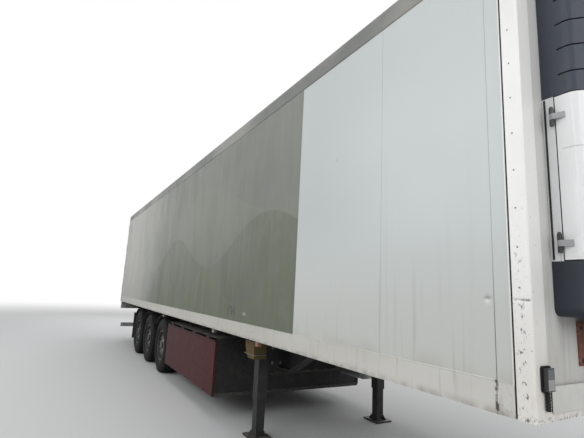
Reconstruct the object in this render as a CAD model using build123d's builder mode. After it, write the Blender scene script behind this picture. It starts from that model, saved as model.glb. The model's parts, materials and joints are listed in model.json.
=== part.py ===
# Refrigerated three-axle semi-trailer, parked on its landing legs.
# Millimetres. X runs forward, Y to the trailer's left, Z up.
# The origin is on the floor, under the middle of the overall length and width.
import os
from math import cos, sin, radians
from build123d import *

os.makedirs("parts", exist_ok=True)

# Body
BODY_LENGTH = 13600
BODY_WIDTH = 2600
BODY_HEIGHT = 4000
RAIL_BOTTOM = 1182
FLOOR_TOP = 1287
ROOF_THICKNESS = 63
SIDE_WALL = 60
FRONT_WALL = 70
SKIN_TRIM = 4
BOTTOM_RAIL_HEIGHT = 156
TOP_RAIL_HEIGHT = 151
FRONT_HEADER_HEIGHT = 120
POST_SIDE_FLANGE = 94
POST_FRONT_FLANGE = 114
POST_CORNER_RADIUS = 14
SEAL_GAP = 11

# Evaporator housing inside the hold
EVAPORATOR_WIDTH = 1500
EVAPORATOR_DEPTH = 420
EVAPORATOR_HEIGHT = 520
EVAPORATOR_LIP = 150
EVAPORATOR_FOOT = 180

# Rear frame and doors
REAR_POST_WIDTH = 60
REAR_FRAME_DEPTH = 130
REAR_BEAM_BOTTOM = 960
REAR_BEAM_DEPTH = 80
REAR_BEAM_INSET = 30
DOOR_THICKNESS = 85
DOOR_GAP = 6
DOOR_CENTRE_GAP = 16
HINGE_SETBACK = 60
HINGE_INSET = 15
KNUCKLE_RADIUS = 13
HINGE_PIN_RADIUS = 7
PIN_PLAY = 0.1
KNUCKLE_HEIGHT = 60
KNUCKLE_GAP = 2
HINGE_LEVELS = 4
STRAP_REACH = 190
STRAP_THICKNESS = 6
STRAP_INSET = 10
STRAP_BEND = 26
LOCK_ROD_RADIUS = 13.5
LOCK_ROD_STANDOFF = 20
LOCK_ROD_MARGIN = 10
LOCK_ROD_PLACES = (300, 900)
GUIDE_SIZE = (50, 36, 40)
GUIDE_ABOVE_HINGE = 150
GUIDE_FROM_END = 25
KEEPER_SIZE = (30, 70, 54)
KEEPER_MARGIN = 4
HANDLE_REACH = 190
HANDLE_HEIGHT = 40
HANDLE_THICKNESS = 12
HANDLE_LEVEL = 1750
HANDLE_CATCH = (30, 56)
HANDLE_CATCH_PROUD = 4
CAM_REACH = 30
CAM_HEIGHT = 18

# Rear equipment
BUFFER_DEPTH = 90
BUFFER_WIDTH = 120
BUFFER_HEIGHT = 200
BUFFER_INSET = 50
BUFFER_DROP = 10
BUFFER_ROUNDING = 20
LAMP_PANEL = (300, 25, 140)
LAMP_INSET = 200
LENS_RADIUS = 42
LENS_PITCH = 95
LENS_DEPTH = 8
UNDERRUN_HEIGHT = 120
UNDERRUN_DEPTH = 100
UNDERRUN_BOTTOM = 400
UNDERRUN_SETBACK = 200
UNDERRUN_WIDTH = 2460
UNDERRUN_ROUNDING = 20
UNDERRUN_BRACKET = (260, 60)

# Chassis
BEAM_SPACING = 1300
BEAM_FLANGE_WIDTH = 140
BEAM_FLANGE = 12
BEAM_WEB = 10
BEAM_BOTTOM = 790
NECK_BOTTOM = 1128
NECK_REAR_SETBACK = 2680
NECK_SLOPE = 650
BEAM_FRONT_SETBACK = 150
STIFFENER_THICKNESS = 10
CROSS_MEMBER_HEIGHT = 100
OUTRIGGER_HEIGHT = 50
CROSS_MEMBER_WIDTH = 60
CROSS_MEMBER_WALL = 6
CROSS_MEMBER_PITCH = 620
COUPLER_LENGTH = 2110
COUPLER_WIDTH = 1460
COUPLER_THICKNESS = 8
COUPLER_NOSE = (60, 40)

# Kingpin, for a 50.8 mm jaw
KINGPIN_SETBACK = 1600
KINGPIN_UPPER_RADIUS = 36.5
KINGPIN_NECK_RADIUS = 25.4
KINGPIN_COLLAR_RADIUS = 35.75
KINGPIN_UPPER_LENGTH = 35
KINGPIN_NECK_LENGTH = 35
KINGPIN_COLLAR_LENGTH = 14

# Running gear
AXLE_SPACING = 1310
LAST_AXLE_FROM_REAR = 3181
AXLE_COUNT = 3
AXLE_TUBE = 120
SEAT_CLEARANCE = 0.3
ARM_WIDTH = 90
ARM_THICKNESS = 60
ARM_TAIL_THICKNESS = 40
ARM_PIVOT_AHEAD = 500
ARM_PIVOT_LEVEL = 600
ARM_EYE_RADIUS = 52
ARM_PIN_RADIUS = 15
ARM_SADDLE = 120
ARM_SADDLE_TAPER = 30
ARM_SEAT_REACH = 110
ARM_TAIL_TAPER = 20
ARM_PIN_PROUD = 10
HANGER_REACH = 110
HANGER_CHEEK = 12
AIR_SPRING_BEHIND = 380
AIR_SPRING_RADIUS = 140
AIR_SPRING_SEAT = 470
PISTON_RADIUS = 100
PISTON_HEIGHT = 110
BELLOWS_SHOULDER = (20, 30)
BRAKE_CHAMBER_RADIUS = 85
BRAKE_CHAMBER_LENGTH = 130
BRAKE_CHAMBER_AHEAD = 150
BRAKE_CHAMBER_RISE = 30
CALIPER = (120, 90)
CALIPER_AHEAD = 100
CALIPER_RISE = 15
CALIPER_START = 95
CALIPER_GAP = 12
AXLE_END_GAP = 60

# Tyres and rims
TYRE_RADIUS = 530
TYRE_WIDTH = 389
TYRE_FLATS = 48
WHEEL_OUTER_FACE = 1250
BEAD_RADIUS = 286
BEAD_HEEL = 22
SIDEWALL_LOW_RADIUS = 386
SIDEWALL_HIGH_RADIUS = 440
SHOULDER = 24
RIM_WIDTH = 298
RIM_WALL = 9
RIM_FLANGE_RISE = 20
RIM_FLANGE_THICKNESS = 8
WELL_RADIUS = 271
WELL_SPAN = (-100, 60)
WELL_RAMP = 15
WALL_SHIFT = 5
DISC_OFFSET = 112
DISC_THICKNESS = 12
DISC_EDGE_RADIUS = 225
DISC_LEAN = 7
DISC_JOIN = 20
HUB_RADIUS = 140
HUB_BORE = 46
HUB_BACK = 60
HUB_DEPTH = 100
HUB_CAP_RADIUS = 72
SPINDLE_PLAY = 0.1
SPINDLE_REACH = 90
BRAKE_DISC_RADIUS = 215
BRAKE_DISC_WIDTH = 40
HAND_HOLES = 10
HAND_HOLE_RADIUS = 27
HAND_HOLE_CIRCLE = 195

# Mudguards
MUDGUARD_RADIUS = 590
MUDGUARD_THICKNESS = 6
MUDGUARD_WIDTH = 400
MUDGUARD_HALF_ANGLE = 52
STAY_RADIUS = 17
STAY_RISE = 12
STAY_TURN = 12
STAY_INSET = 60
MUD_FLAP_GAP = 60
MUD_FLAP_BOTTOM = 300
MUD_FLAP_HEIGHT = 680
MUD_FLAP_THICKNESS = 8
MUD_FLAP_STAY_LEVEL = 940

# Tanks
AIR_TANKS = 2
AIR_TANK_RADIUS = 123
AIR_TANK_LENGTH = 1000
AIR_TANK_PITCH = 280
AIR_TANK_LEVEL = 920
AIR_TANK_GAP = 20
AIR_TANK_ROUNDING = 40
AIR_TANK_STRAP = 40
AIR_TANK_STRAP_INSET = 120
FUEL_TANK = (600, 440, 540)
FUEL_TANK_LEVEL = 790
FUEL_TANK_GAP = 50
FUEL_TANK_INSET = 40
FUEL_TANK_ROUNDING = 80
FUEL_CAP_RADIUS = 45
FUEL_CAP_REACH = 30
FUEL_CAP_PLACE = (0, 170)
FUEL_BRACKET_PLACES = (-180, 180)
FUEL_BRACKET_WIDTH = 40
FUEL_BRACKET_RISES = (40, 160)
FUEL_STRAP_THICKNESS = 3

# Landing gear
LEG_SETBACK = 3605
LEG_SPACING = 1900
LEG_OUTER = 130
LEG_INNER = 110
LEG_HOUSING_BOTTOM = 430
LEG_TOP = 1130
LEG_CAP = 10
LEG_OVERLAP = 250
LEG_BRACKET_WIDTH = 100
LEG_BRACKET_FOOT = 20
LEG_BRACKET_HEAD = 40
CROSS_SHAFT_RADIUS = 18
CROSS_SHAFT_DROP = 60
GEARBOX = (120, 70, 170)
GEARBOX_ROUNDING = 25
CRANK_RADIUS = 11
CRANK_REACH = 260
CRANK_GRIP = 110
CRANK_STUB = 60
FOOT_LENGTH = 300
FOOT_WIDTH = 260
FOOT_THICKNESS = 20
FOOT_CHEEK_SETBACK = 40
FOOT_CHEEK_HEIGHT = 60
FOOT_CHEEK_THICKNESS = 8

# Wheel chock on the right leg
CHOCK = (265, 160, 200)
CHOCK_AHEAD = 240
CHOCK_BOTTOM = 940
CHOCK_FOOT = 170
CHOCK_CURVE = 300

# Pallet box under the middle
BOX_FRONT_SETBACK = 4452
BOX_LENGTH = 2721
BOX_BOTTOM = 280
BOX_TOP = 1051
BOX_HALF_WIDTH = 1240
BOX_WALL = 5
BOX_BEAM_GAP = 20
BOX_RIM = (18, 45)
FLAP_THICKNESS = 10
FLAP_GAP = 8
FLAP_END_GAP = 8
FLAP_FOOT_GAP = 4
FLAP_HEAD_GAP = 7
FLAP_HINGES = 4
FLAP_AXIS_DROP = 12
FLAP_KNUCKLE = 9
FLAP_KNUCKLE_LENGTH = 120
FLAP_PIN = 4
FLAP_LUG = 12
FLAP_LUG_GAP = 2
FLAP_LUG_ROOT = 6

# Lamps
SIDE_LAMP = (70, 48, 55)
SIDE_LAMP_INSET = 12
SIDE_LAMP_SETBACKS = (3083, 4529, 7543, 12330)
FRONT_LAMP = (32, 67, 107)
FRONT_LAMP_INSET = 48
FRONT_LAMP_BOTTOM = 1332
LAMP_ROUNDING = 8

# Refrigeration unit
UNIT_DEPTH = 430
UNIT_WIDTH = 2180
UNIT_BOTTOM = 1680
UNIT_FAIRING_HEIGHT = 280
UNIT_DOOR_HEIGHT = 900
UNIT_HEAD_GAP = 130
UNIT_FLANK = 125
UNIT_CORNER_RADIUS = 70
UNIT_CORNER_TURN = 42
UNIT_TOP_ROUNDING = 30
UNIT_FOOT_ROUNDING = 45
UNIT_DOOR_WALL = 40
UNIT_SEAM = 63
UNIT_GAP = 6
UNIT_BACK_PLATE = 12
UNIT_PIN_BEHIND = 12
UNIT_PIN_PROUD = 16
UNIT_KNUCKLE = 11
UNIT_KNUCKLE_HEIGHT = 32
UNIT_KNUCKLE_GAP = 1
UNIT_PIN = 6
UNIT_HINGE_RISES = (90, 779)
UNIT_HINGE_ARM = 50
UNIT_HINGE_PLATE = 7
UNIT_HINGE_BITE = 2
UNIT_HINGE_CLEAR = 4
UNIT_LUG_ROOT = 5
GROOVE_HEIGHT = 9
GROOVE_DEPTH = 9
GROOVE_START = 90
SHROUD_GROOVE_RISE = 110
SHROUD_GROOVE_MARGIN = 120
SHROUD_GROOVE_PITCH = 150
DOOR_GROOVE = 5
DOOR_GROOVE_RISE = 590
FAN_RADIUS = 150
FAN_WELL = 90
FAN_HUB_RADIUS = 55
FAN_PLACE = (215, 480)
ENGINE_SIZE = (270, 900, 620)
ENGINE_SETBACK = 40

# Coupling board
BOARD_WIDTH = 1786
BOARD_HEIGHT = 226
BOARD_DROP = 24
BOARD_THICKNESS = 8
BOARD_SHELF = 90
# columns: place across the board, radius, depth
COUPLINGS = ((-560, 30, 55), (-300, 38, 60), (0, 38, 60), (300, 38, 60), (560, 30, 55))

x_front = (BODY_LENGTH + UNIT_DEPTH + BUFFER_DEPTH) / 2 - UNIT_DEPTH
x_rear = x_front - BODY_LENGTH
half_width = BODY_WIDTH / 2
wall_out = half_width - SKIN_TRIM
wall_in = wall_out - SIDE_WALL
panel_bottom = RAIL_BOTTOM + SKIN_TRIM
roof_bottom = BODY_HEIGHT - ROOF_THICKNESS
front_wall_face = x_front - SKIN_TRIM
front_wall_back = front_wall_face - FRONT_WALL
wall_rear = x_rear + REAR_FRAME_DEPTH
post_back = x_front - POST_SIDE_FLANGE
wall_front = post_back - SEAL_GAP
post_inner = half_width - POST_FRONT_FLANGE
beam_y = BEAM_SPACING / 2
beam_half_width = BEAM_FLANGE_WIDTH / 2
web_face = beam_y + BEAM_WEB / 2


def block(x, y, z, mode=Mode.ADD):
    """A squared piece between two corners, given as spans along X, Y and Z."""
    with Locations(((x[0] + x[1]) / 2, (y[0] + y[1]) / 2, (z[0] + z[1]) / 2)):
        return Box(x[1] - x[0], y[1] - y[0], z[1] - z[0], mode=mode)


def about(middle, size):
    """The span of a size about its middle."""
    return (middle - size / 2, middle + size / 2)


def both_sides(y):
    """The spans of a piece on the right and of its twin on the left."""
    return ((-y[1], -y[0]), (y[0], y[1]))


def rod(place, radius, length, along, mode=Mode.ADD):
    """A round bar or bore about a place, along X, Y or Z."""
    turn = {"X": (0, 90, 0), "Y": (90, 0, 0), "Z": (0, 0, 0)}[along]
    with Locations(place):
        return Cylinder(radius, length, rotation=turn, mode=mode)


def upright(x, y):
    """A drawing plane facing the trailer's right, standing on the floor at a place."""
    return Plane(origin=(x, y, 0), x_dir=(1, 0, 0), z_dir=(0, -1, 0))


def save(builder, name):
    """Label a finished piece and write its file."""
    builder.part.label = name
    export_step(builder.part, f"parts/{name}.step")


# Floor, walls and roof: foamed panels, each in the thickness of the whole wall
with BuildPart() as floor_panel:
    block((wall_rear, front_wall_back), (-wall_in, wall_in), (panel_bottom, FLOOR_TOP))
save(floor_panel, "floor_panel")

with BuildPart() as side_wall_right:
    block((wall_rear, wall_front), (-wall_out, -wall_in), (panel_bottom, BODY_HEIGHT - SKIN_TRIM))
save(side_wall_right, "side_wall_right")

with BuildPart() as side_wall_left:
    mirror(side_wall_right.part, about=Plane.XZ)
save(side_wall_left, "side_wall_left")

with BuildPart() as roof_panel:
    roof_span = (roof_bottom, BODY_HEIGHT)
    block((wall_rear, front_wall_face), (-wall_in, wall_in), roof_span)
    for y in both_sides((post_inner, wall_in)):
        block((front_wall_back, front_wall_face), y, roof_span, Mode.SUBTRACT)
save(roof_panel, "roof_panel")

with BuildPart() as front_wall:
    block((front_wall_back, front_wall_face), (-post_inner, post_inner), (panel_bottom, roof_bottom))
save(front_wall, "front_wall")

# Front frame: a rounded post on each corner, joined by a sill strip and a header strip
with BuildPart() as front_frame:
    with BuildSketch(Plane.XY.offset(RAIL_BOTTOM)):
        with BuildLine():
            Polyline(
                (post_back, -half_width),
                (x_front, -half_width),
                (x_front, -post_inner),
                (front_wall_back, -post_inner),
                (front_wall_back, -wall_in),
                (post_back, -wall_in),
                close=True,
            )
        make_face()
    extrude(amount=BODY_HEIGHT - RAIL_BOTTOM)
    outer_edge = front_frame.edges().filter_by(Axis.Z).sort_by(Axis.X)[-2:].sort_by(Axis.Y)[0]
    fillet(outer_edge, POST_CORNER_RADIUS)
    mirror(about=Plane.XZ)
    sill_span = (panel_bottom, RAIL_BOTTOM + BOTTOM_RAIL_HEIGHT)
    header_span = (BODY_HEIGHT - FRONT_HEADER_HEIGHT, BODY_HEIGHT)
    for z in (sill_span, header_span):
        block((front_wall_face, x_front), (-post_inner, post_inner), z)
save(front_frame, "front_frame")

with BuildPart() as corner_seals:
    for y in both_sides((wall_in, wall_out)):
        block((wall_front, post_back), y, (panel_bottom, BODY_HEIGHT - SKIN_TRIM))
save(corner_seals, "corner_seals")

# Side rails: an angle under each wall and an angle over it
with BuildPart() as side_rails:
    for y_skin, y_ledge in zip(both_sides((wall_out, half_width)), both_sides((wall_in, half_width))):
        block((wall_rear, wall_front), y_skin, (RAIL_BOTTOM, RAIL_BOTTOM + BOTTOM_RAIL_HEIGHT))
        block((wall_rear, wall_front), y_ledge, (RAIL_BOTTOM, panel_bottom))
        block((wall_rear, wall_front), y_skin, (BODY_HEIGHT - TOP_RAIL_HEIGHT, BODY_HEIGHT))
        block((wall_rear, wall_front), y_ledge, (BODY_HEIGHT - SKIN_TRIM, BODY_HEIGHT))
save(side_rails, "side_rails")

# Evaporator housing, high on the front wall inside the hold
with BuildPart() as evaporator_housing:
    housing_back = front_wall_back - EVAPORATOR_DEPTH
    housing_low = roof_bottom - EVAPORATOR_HEIGHT
    with BuildSketch(Plane.XZ):
        with BuildLine():
            Polyline(
                (front_wall_back, roof_bottom),
                (housing_back, roof_bottom),
                (housing_back, roof_bottom - EVAPORATOR_LIP),
                (front_wall_back - EVAPORATOR_FOOT, housing_low),
                (front_wall_back, housing_low),
                close=True,
            )
        make_face()
    extrude(amount=EVAPORATOR_WIDTH / 2, both=True)
save(evaporator_housing, "evaporator_housing")

# Rear frame with its lower beam, hinge brackets and lock keepers
pin_x = x_rear - HINGE_SETBACK
pin_y = half_width - HINGE_INSET
door_bottom = FLOOR_TOP + DOOR_GAP
door_top = roof_bottom - DOOR_GAP
door_edge = half_width - REAR_POST_WIDTH - DOOR_GAP
hinge_step = (door_top - door_bottom) / HINGE_LEVELS
hinge_heights = [door_bottom + hinge_step * (n + 0.5) for n in range(HINGE_LEVELS)]
lock_rods = [DOOR_CENTRE_GAP / 2 + place for place in LOCK_ROD_PLACES]

with BuildPart() as rear_frame:
    for y in both_sides((half_width - REAR_POST_WIDTH, half_width)):
        block((x_rear, wall_rear), y, (RAIL_BOTTOM, BODY_HEIGHT))
    block((x_rear, wall_rear), (-half_width, half_width), (panel_bottom, FLOOR_TOP))
    block((x_rear, wall_rear), (-half_width, half_width), (roof_bottom, BODY_HEIGHT))
    beam_half = half_width - REAR_BEAM_INSET
    block((x_rear, x_rear + REAR_BEAM_DEPTH), (-beam_half, beam_half), (REAR_BEAM_BOTTOM, panel_bottom))
    for side in (-1, 1):
        for level in hinge_heights:
            with BuildSketch(Plane.XY.offset(level - KNUCKLE_HEIGHT / 2)):
                with Locations((pin_x, side * pin_y)):
                    Circle(KNUCKLE_RADIUS)
                with Locations(((pin_x + x_rear) / 2, side * pin_y)):
                    Rectangle(HINGE_SETBACK, 2 * KNUCKLE_RADIUS)
            extrude(amount=KNUCKLE_HEIGHT)
            rod((pin_x, side * pin_y, level), HINGE_PIN_RADIUS, 3 * KNUCKLE_HEIGHT + 2 * KNUCKLE_GAP, "Z")
        for place in lock_rods:
            y = about(side * place, KEEPER_SIZE[1])
            for z_end, away in ((FLOOR_TOP - KEEPER_MARGIN, -1), (roof_bottom + KEEPER_MARGIN, 1)):
                z = sorted((z_end, z_end + away * KEEPER_SIZE[2]))
                block((x_rear - KEEPER_SIZE[0], x_rear), y, z)
save(rear_frame, "rear_frame")

# Rear doors: a foamed leaf, and its straps, lock rods and handles
with BuildPart() as door_right_panel:
    block((x_rear, x_rear + DOOR_THICKNESS), (-door_edge, -DOOR_CENTRE_GAP / 2), (door_bottom, door_top))
save(door_right_panel, "door_right_panel")

with BuildPart() as door_right_fittings:
    for level in hinge_heights:
        for start in (level - KNUCKLE_HEIGHT * 1.5 - KNUCKLE_GAP, level + KNUCKLE_HEIGHT / 2 + KNUCKLE_GAP):
            with BuildSketch(Plane.XY.offset(start)):
                with BuildLine():
                    Polyline(
                        (x_rear, -door_edge + STRAP_INSET),
                        (x_rear, -door_edge + STRAP_REACH),
                        (x_rear - STRAP_THICKNESS, -door_edge + STRAP_REACH),
                        (x_rear - STRAP_THICKNESS, -door_edge + STRAP_BEND),
                        (pin_x, -pin_y + KNUCKLE_RADIUS),
                        (pin_x, -pin_y),
                        close=True,
                    )
                make_face()
                with Locations((pin_x, -pin_y)):
                    Circle(KNUCKLE_RADIUS)
                with Locations((pin_x, -pin_y)):
                    Circle(HINGE_PIN_RADIUS + PIN_PLAY, mode=Mode.SUBTRACT)
            extrude(amount=KNUCKLE_HEIGHT)
    rod_x = x_rear - LOCK_ROD_STANDOFF
    rod_low = door_bottom + LOCK_ROD_MARGIN
    rod_high = door_top - LOCK_ROD_MARGIN
    guide_levels = [rod_low + GUIDE_FROM_END, rod_high - GUIDE_FROM_END]
    guide_levels += [level + GUIDE_ABOVE_HINGE for level in hinge_heights]
    for place in lock_rods:
        rod((rod_x, -place, (rod_low + rod_high) / 2), LOCK_ROD_RADIUS, rod_high - rod_low, "Z")
        for level in guide_levels:
            guide_x = (x_rear - GUIDE_SIZE[1], x_rear)
            block(guide_x, about(-place, GUIDE_SIZE[0]), about(level, GUIDE_SIZE[2]))
        for cam_low in (rod_low, rod_high - CAM_HEIGHT):
            with BuildSketch(Plane.XY.offset(cam_low)):
                with Locations((rod_x, -place + CAM_REACH / 2)):
                    SlotCenterToCenter(CAM_REACH, 2 * LOCK_ROD_RADIUS, rotation=90)
            extrude(amount=CAM_HEIGHT)
        with BuildSketch(Plane.YZ.offset(rod_x - HANDLE_THICKNESS / 2)):
            with Locations((-place + (HANDLE_REACH - HANDLE_HEIGHT / 2) / 2, HANDLE_LEVEL)):
                SlotOverall(HANDLE_REACH + HANDLE_HEIGHT / 2, HANDLE_HEIGHT)
        extrude(amount=HANDLE_THICKNESS)
        catch_x = (rod_x - HANDLE_THICKNESS / 2 - HANDLE_CATCH_PROUD, x_rear)
        catch_y = -place + HANDLE_REACH - HANDLE_CATCH[0]
        block(catch_x, about(catch_y, HANDLE_CATCH[0]), about(HANDLE_LEVEL, HANDLE_CATCH[1]))
save(door_right_fittings, "door_right_fittings")

with BuildPart() as door_left_panel:
    mirror(door_right_panel.part, about=Plane.XZ)
save(door_left_panel, "door_left_panel")

with BuildPart() as door_left_fittings:
    mirror(door_right_fittings.part, about=Plane.XZ)
save(door_left_fittings, "door_left_fittings")

# Rear buffers, lamps and the underrun bar
with BuildPart() as dock_buffers:
    buffer_top = RAIL_BOTTOM - BUFFER_DROP
    for y in both_sides((half_width - BUFFER_INSET - BUFFER_WIDTH, half_width - BUFFER_INSET)):
        block((x_rear - BUFFER_DEPTH, x_rear), y, (buffer_top - BUFFER_HEIGHT, buffer_top))
    fillet(dock_buffers.edges().filter_by(Axis.Y).group_by(Axis.X)[0], BUFFER_ROUNDING)
save(dock_buffers, "dock_buffers")

with BuildPart() as rear_lamps:
    lamp_z = (REAR_BEAM_BOTTOM + RAIL_BOTTOM) / 2
    for side in (-1, 1):
        lamp_y = side * (half_width - LAMP_INSET - LAMP_PANEL[0] / 2)
        block((x_rear - LAMP_PANEL[1], x_rear), about(lamp_y, LAMP_PANEL[0]), about(lamp_z, LAMP_PANEL[2]))
        with BuildSketch(Plane.YZ.offset(x_rear - LAMP_PANEL[1])):
            with Locations((lamp_y, lamp_z)):
                with GridLocations(LENS_PITCH, 0, 3, 1):
                    Circle(LENS_RADIUS)
        extrude(amount=-LENS_DEPTH)
save(rear_lamps, "rear_lamps")

with BuildPart() as underrun_bar:
    bar_x = x_rear + UNDERRUN_SETBACK
    bar_top = UNDERRUN_BOTTOM + UNDERRUN_HEIGHT
    with BuildSketch(Plane.YZ.offset(bar_x)):
        with Locations((0, UNDERRUN_BOTTOM + UNDERRUN_HEIGHT / 2)):
            RectangleRounded(UNDERRUN_WIDTH, UNDERRUN_HEIGHT, UNDERRUN_ROUNDING)
    extrude(amount=UNDERRUN_DEPTH)
    for side in (1, -1):
        with BuildSketch(Plane.XZ.offset(side * beam_y)):
            with BuildLine():
                Polyline(
                    (bar_x, bar_top),
                    (bar_x + UNDERRUN_DEPTH, bar_top),
                    (bar_x + UNDERRUN_BRACKET[0], BEAM_BOTTOM),
                    (bar_x, BEAM_BOTTOM),
                    close=True,
                )
            make_face()
        extrude(amount=UNDERRUN_BRACKET[1] / 2, both=True)
save(underrun_bar, "underrun_bar")

# Main beams: I sections that step up into a shallow neck over the coupling, with the arm hangers
first_axle = x_rear + LAST_AXLE_FROM_REAR + AXLE_SPACING * (AXLE_COUNT - 1)
axles = [first_axle - AXLE_SPACING * n for n in range(AXLE_COUNT)]
beam_back = x_rear + REAR_BEAM_DEPTH
beam_front = x_front - BEAM_FRONT_SETBACK
neck_back = x_front - NECK_REAR_SETBACK
slope_back = neck_back - NECK_SLOPE
member_start = beam_back + CROSS_MEMBER_PITCH / 2
member_count = int((slope_back - member_start) / CROSS_MEMBER_PITCH) + 1
members = [member_start + n * CROSS_MEMBER_PITCH for n in range(member_count)]

with BuildPart() as chassis_beams:
    with BuildSketch(Plane.XZ.offset(beam_y)) as beam_outline:
        with BuildLine():
            Polyline(
                (beam_back, BEAM_BOTTOM),
                (slope_back, BEAM_BOTTOM),
                (neck_back, NECK_BOTTOM),
                (beam_front, NECK_BOTTOM),
                (beam_front, panel_bottom),
                (beam_back, panel_bottom),
                close=True,
            )
        make_face()
    extrude(amount=beam_half_width, both=True)
    for face_y in (beam_y + beam_half_width, beam_y - beam_half_width):
        with BuildSketch(Plane.XZ.offset(face_y)):
            add(beam_outline.sketch_local)
            offset(amount=-BEAM_FLANGE, kind=Kind.INTERSECTION, mode=Mode.REPLACE)
            for x in members:
                with Locations((x + CROSS_MEMBER_WIDTH / 2, BEAM_BOTTOM)):
                    Rectangle(STIFFENER_THICKNESS, 2 * panel_bottom, mode=Mode.SUBTRACT)
        depth = (BEAM_FLANGE_WIDTH - BEAM_WEB) / 2
        extrude(amount=-depth if face_y > beam_y else depth, mode=Mode.SUBTRACT)
    for axle in axles:
        pivot_x = axle + ARM_PIVOT_AHEAD
        for side in (1, -1):
            cheek_face = beam_y + side * (ARM_WIDTH / 2 + SEAT_CLEARANCE)
            with BuildSketch(Plane.XZ.offset(cheek_face)):
                with BuildLine():
                    Polyline(
                        (pivot_x - HANGER_REACH, BEAM_BOTTOM),
                        (pivot_x - ARM_EYE_RADIUS, ARM_PIVOT_LEVEL - ARM_EYE_RADIUS),
                        (pivot_x + ARM_EYE_RADIUS, ARM_PIVOT_LEVEL - ARM_EYE_RADIUS),
                        (pivot_x + HANGER_REACH, BEAM_BOTTOM),
                        close=True,
                    )
                make_face()
                with Locations((pivot_x, ARM_PIVOT_LEVEL)):
                    Circle(ARM_PIN_RADIUS + SEAT_CLEARANCE, mode=Mode.SUBTRACT)
            extrude(amount=side * HANGER_CHEEK)
    mirror(about=Plane.XZ)
save(chassis_beams, "chassis_beams")


def channel_row(drawing_plane, height):
    """The sections of all cross members, hung under the floor and open to the front."""
    with BuildSketch(drawing_plane) as row:
        for x in members:
            with Locations((x + CROSS_MEMBER_WIDTH / 2, panel_bottom - height / 2)):
                Rectangle(CROSS_MEMBER_WIDTH, height)
            with Locations((x + CROSS_MEMBER_WIDTH / 2 + CROSS_MEMBER_WALL, panel_bottom - height / 2)):
                Rectangle(CROSS_MEMBER_WIDTH, height - 2 * CROSS_MEMBER_WALL, mode=Mode.SUBTRACT)
    return row.sketch


# Cross members: channels between the beams, with an outrigger to each wall
with BuildPart() as cross_members:
    middle_reach = beam_y - beam_half_width
    outrigger_root = beam_y + beam_half_width
    extrude(channel_row(Plane.XZ, CROSS_MEMBER_HEIGHT), amount=middle_reach, both=True)
    for side in (1, -1):
        outriggers = channel_row(Plane.XZ.offset(side * outrigger_root), OUTRIGGER_HEIGHT)
        extrude(outriggers, amount=side * (wall_in - outrigger_root))
save(cross_members, "cross_members")

# Coupler plate under the neck with its turned-up nose, and the kingpin
plate_low = NECK_BOTTOM - COUPLER_THICKNESS
with BuildPart() as coupler_plate:
    nose_x = beam_front + COUPLER_NOSE[0]
    nose_low = plate_low + COUPLER_NOSE[1]
    with BuildSketch(Plane.XZ):
        with BuildLine():
            Polyline(
                (beam_front - COUPLER_LENGTH, plate_low),
                (beam_front, plate_low),
                (nose_x, nose_low),
                (nose_x, nose_low + COUPLER_THICKNESS),
                (beam_front, NECK_BOTTOM),
                (beam_front - COUPLER_LENGTH, NECK_BOTTOM),
                close=True,
            )
        make_face()
    extrude(amount=COUPLER_WIDTH / 2, both=True)
save(coupler_plate, "coupler_plate")

with BuildPart() as kingpin:
    kingpin_x = x_front - KINGPIN_SETBACK
    upper_low = plate_low - KINGPIN_UPPER_LENGTH
    neck_low = upper_low - KINGPIN_NECK_LENGTH
    collar_low = neck_low - KINGPIN_COLLAR_LENGTH
    with BuildSketch(upright(kingpin_x, 0)):
        with BuildLine():
            Polyline(
                (0, plate_low),
                (KINGPIN_UPPER_RADIUS, plate_low),
                (KINGPIN_UPPER_RADIUS, upper_low),
                (KINGPIN_NECK_RADIUS, upper_low),
                (KINGPIN_NECK_RADIUS, neck_low),
                (KINGPIN_COLLAR_RADIUS, neck_low),
                (KINGPIN_COLLAR_RADIUS, collar_low),
                (0, collar_low),
                close=True,
            )
        make_face()
    revolve(axis=Axis((kingpin_x, 0, 0), (0, 0, 1)))
save(kingpin, "kingpin")

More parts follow.
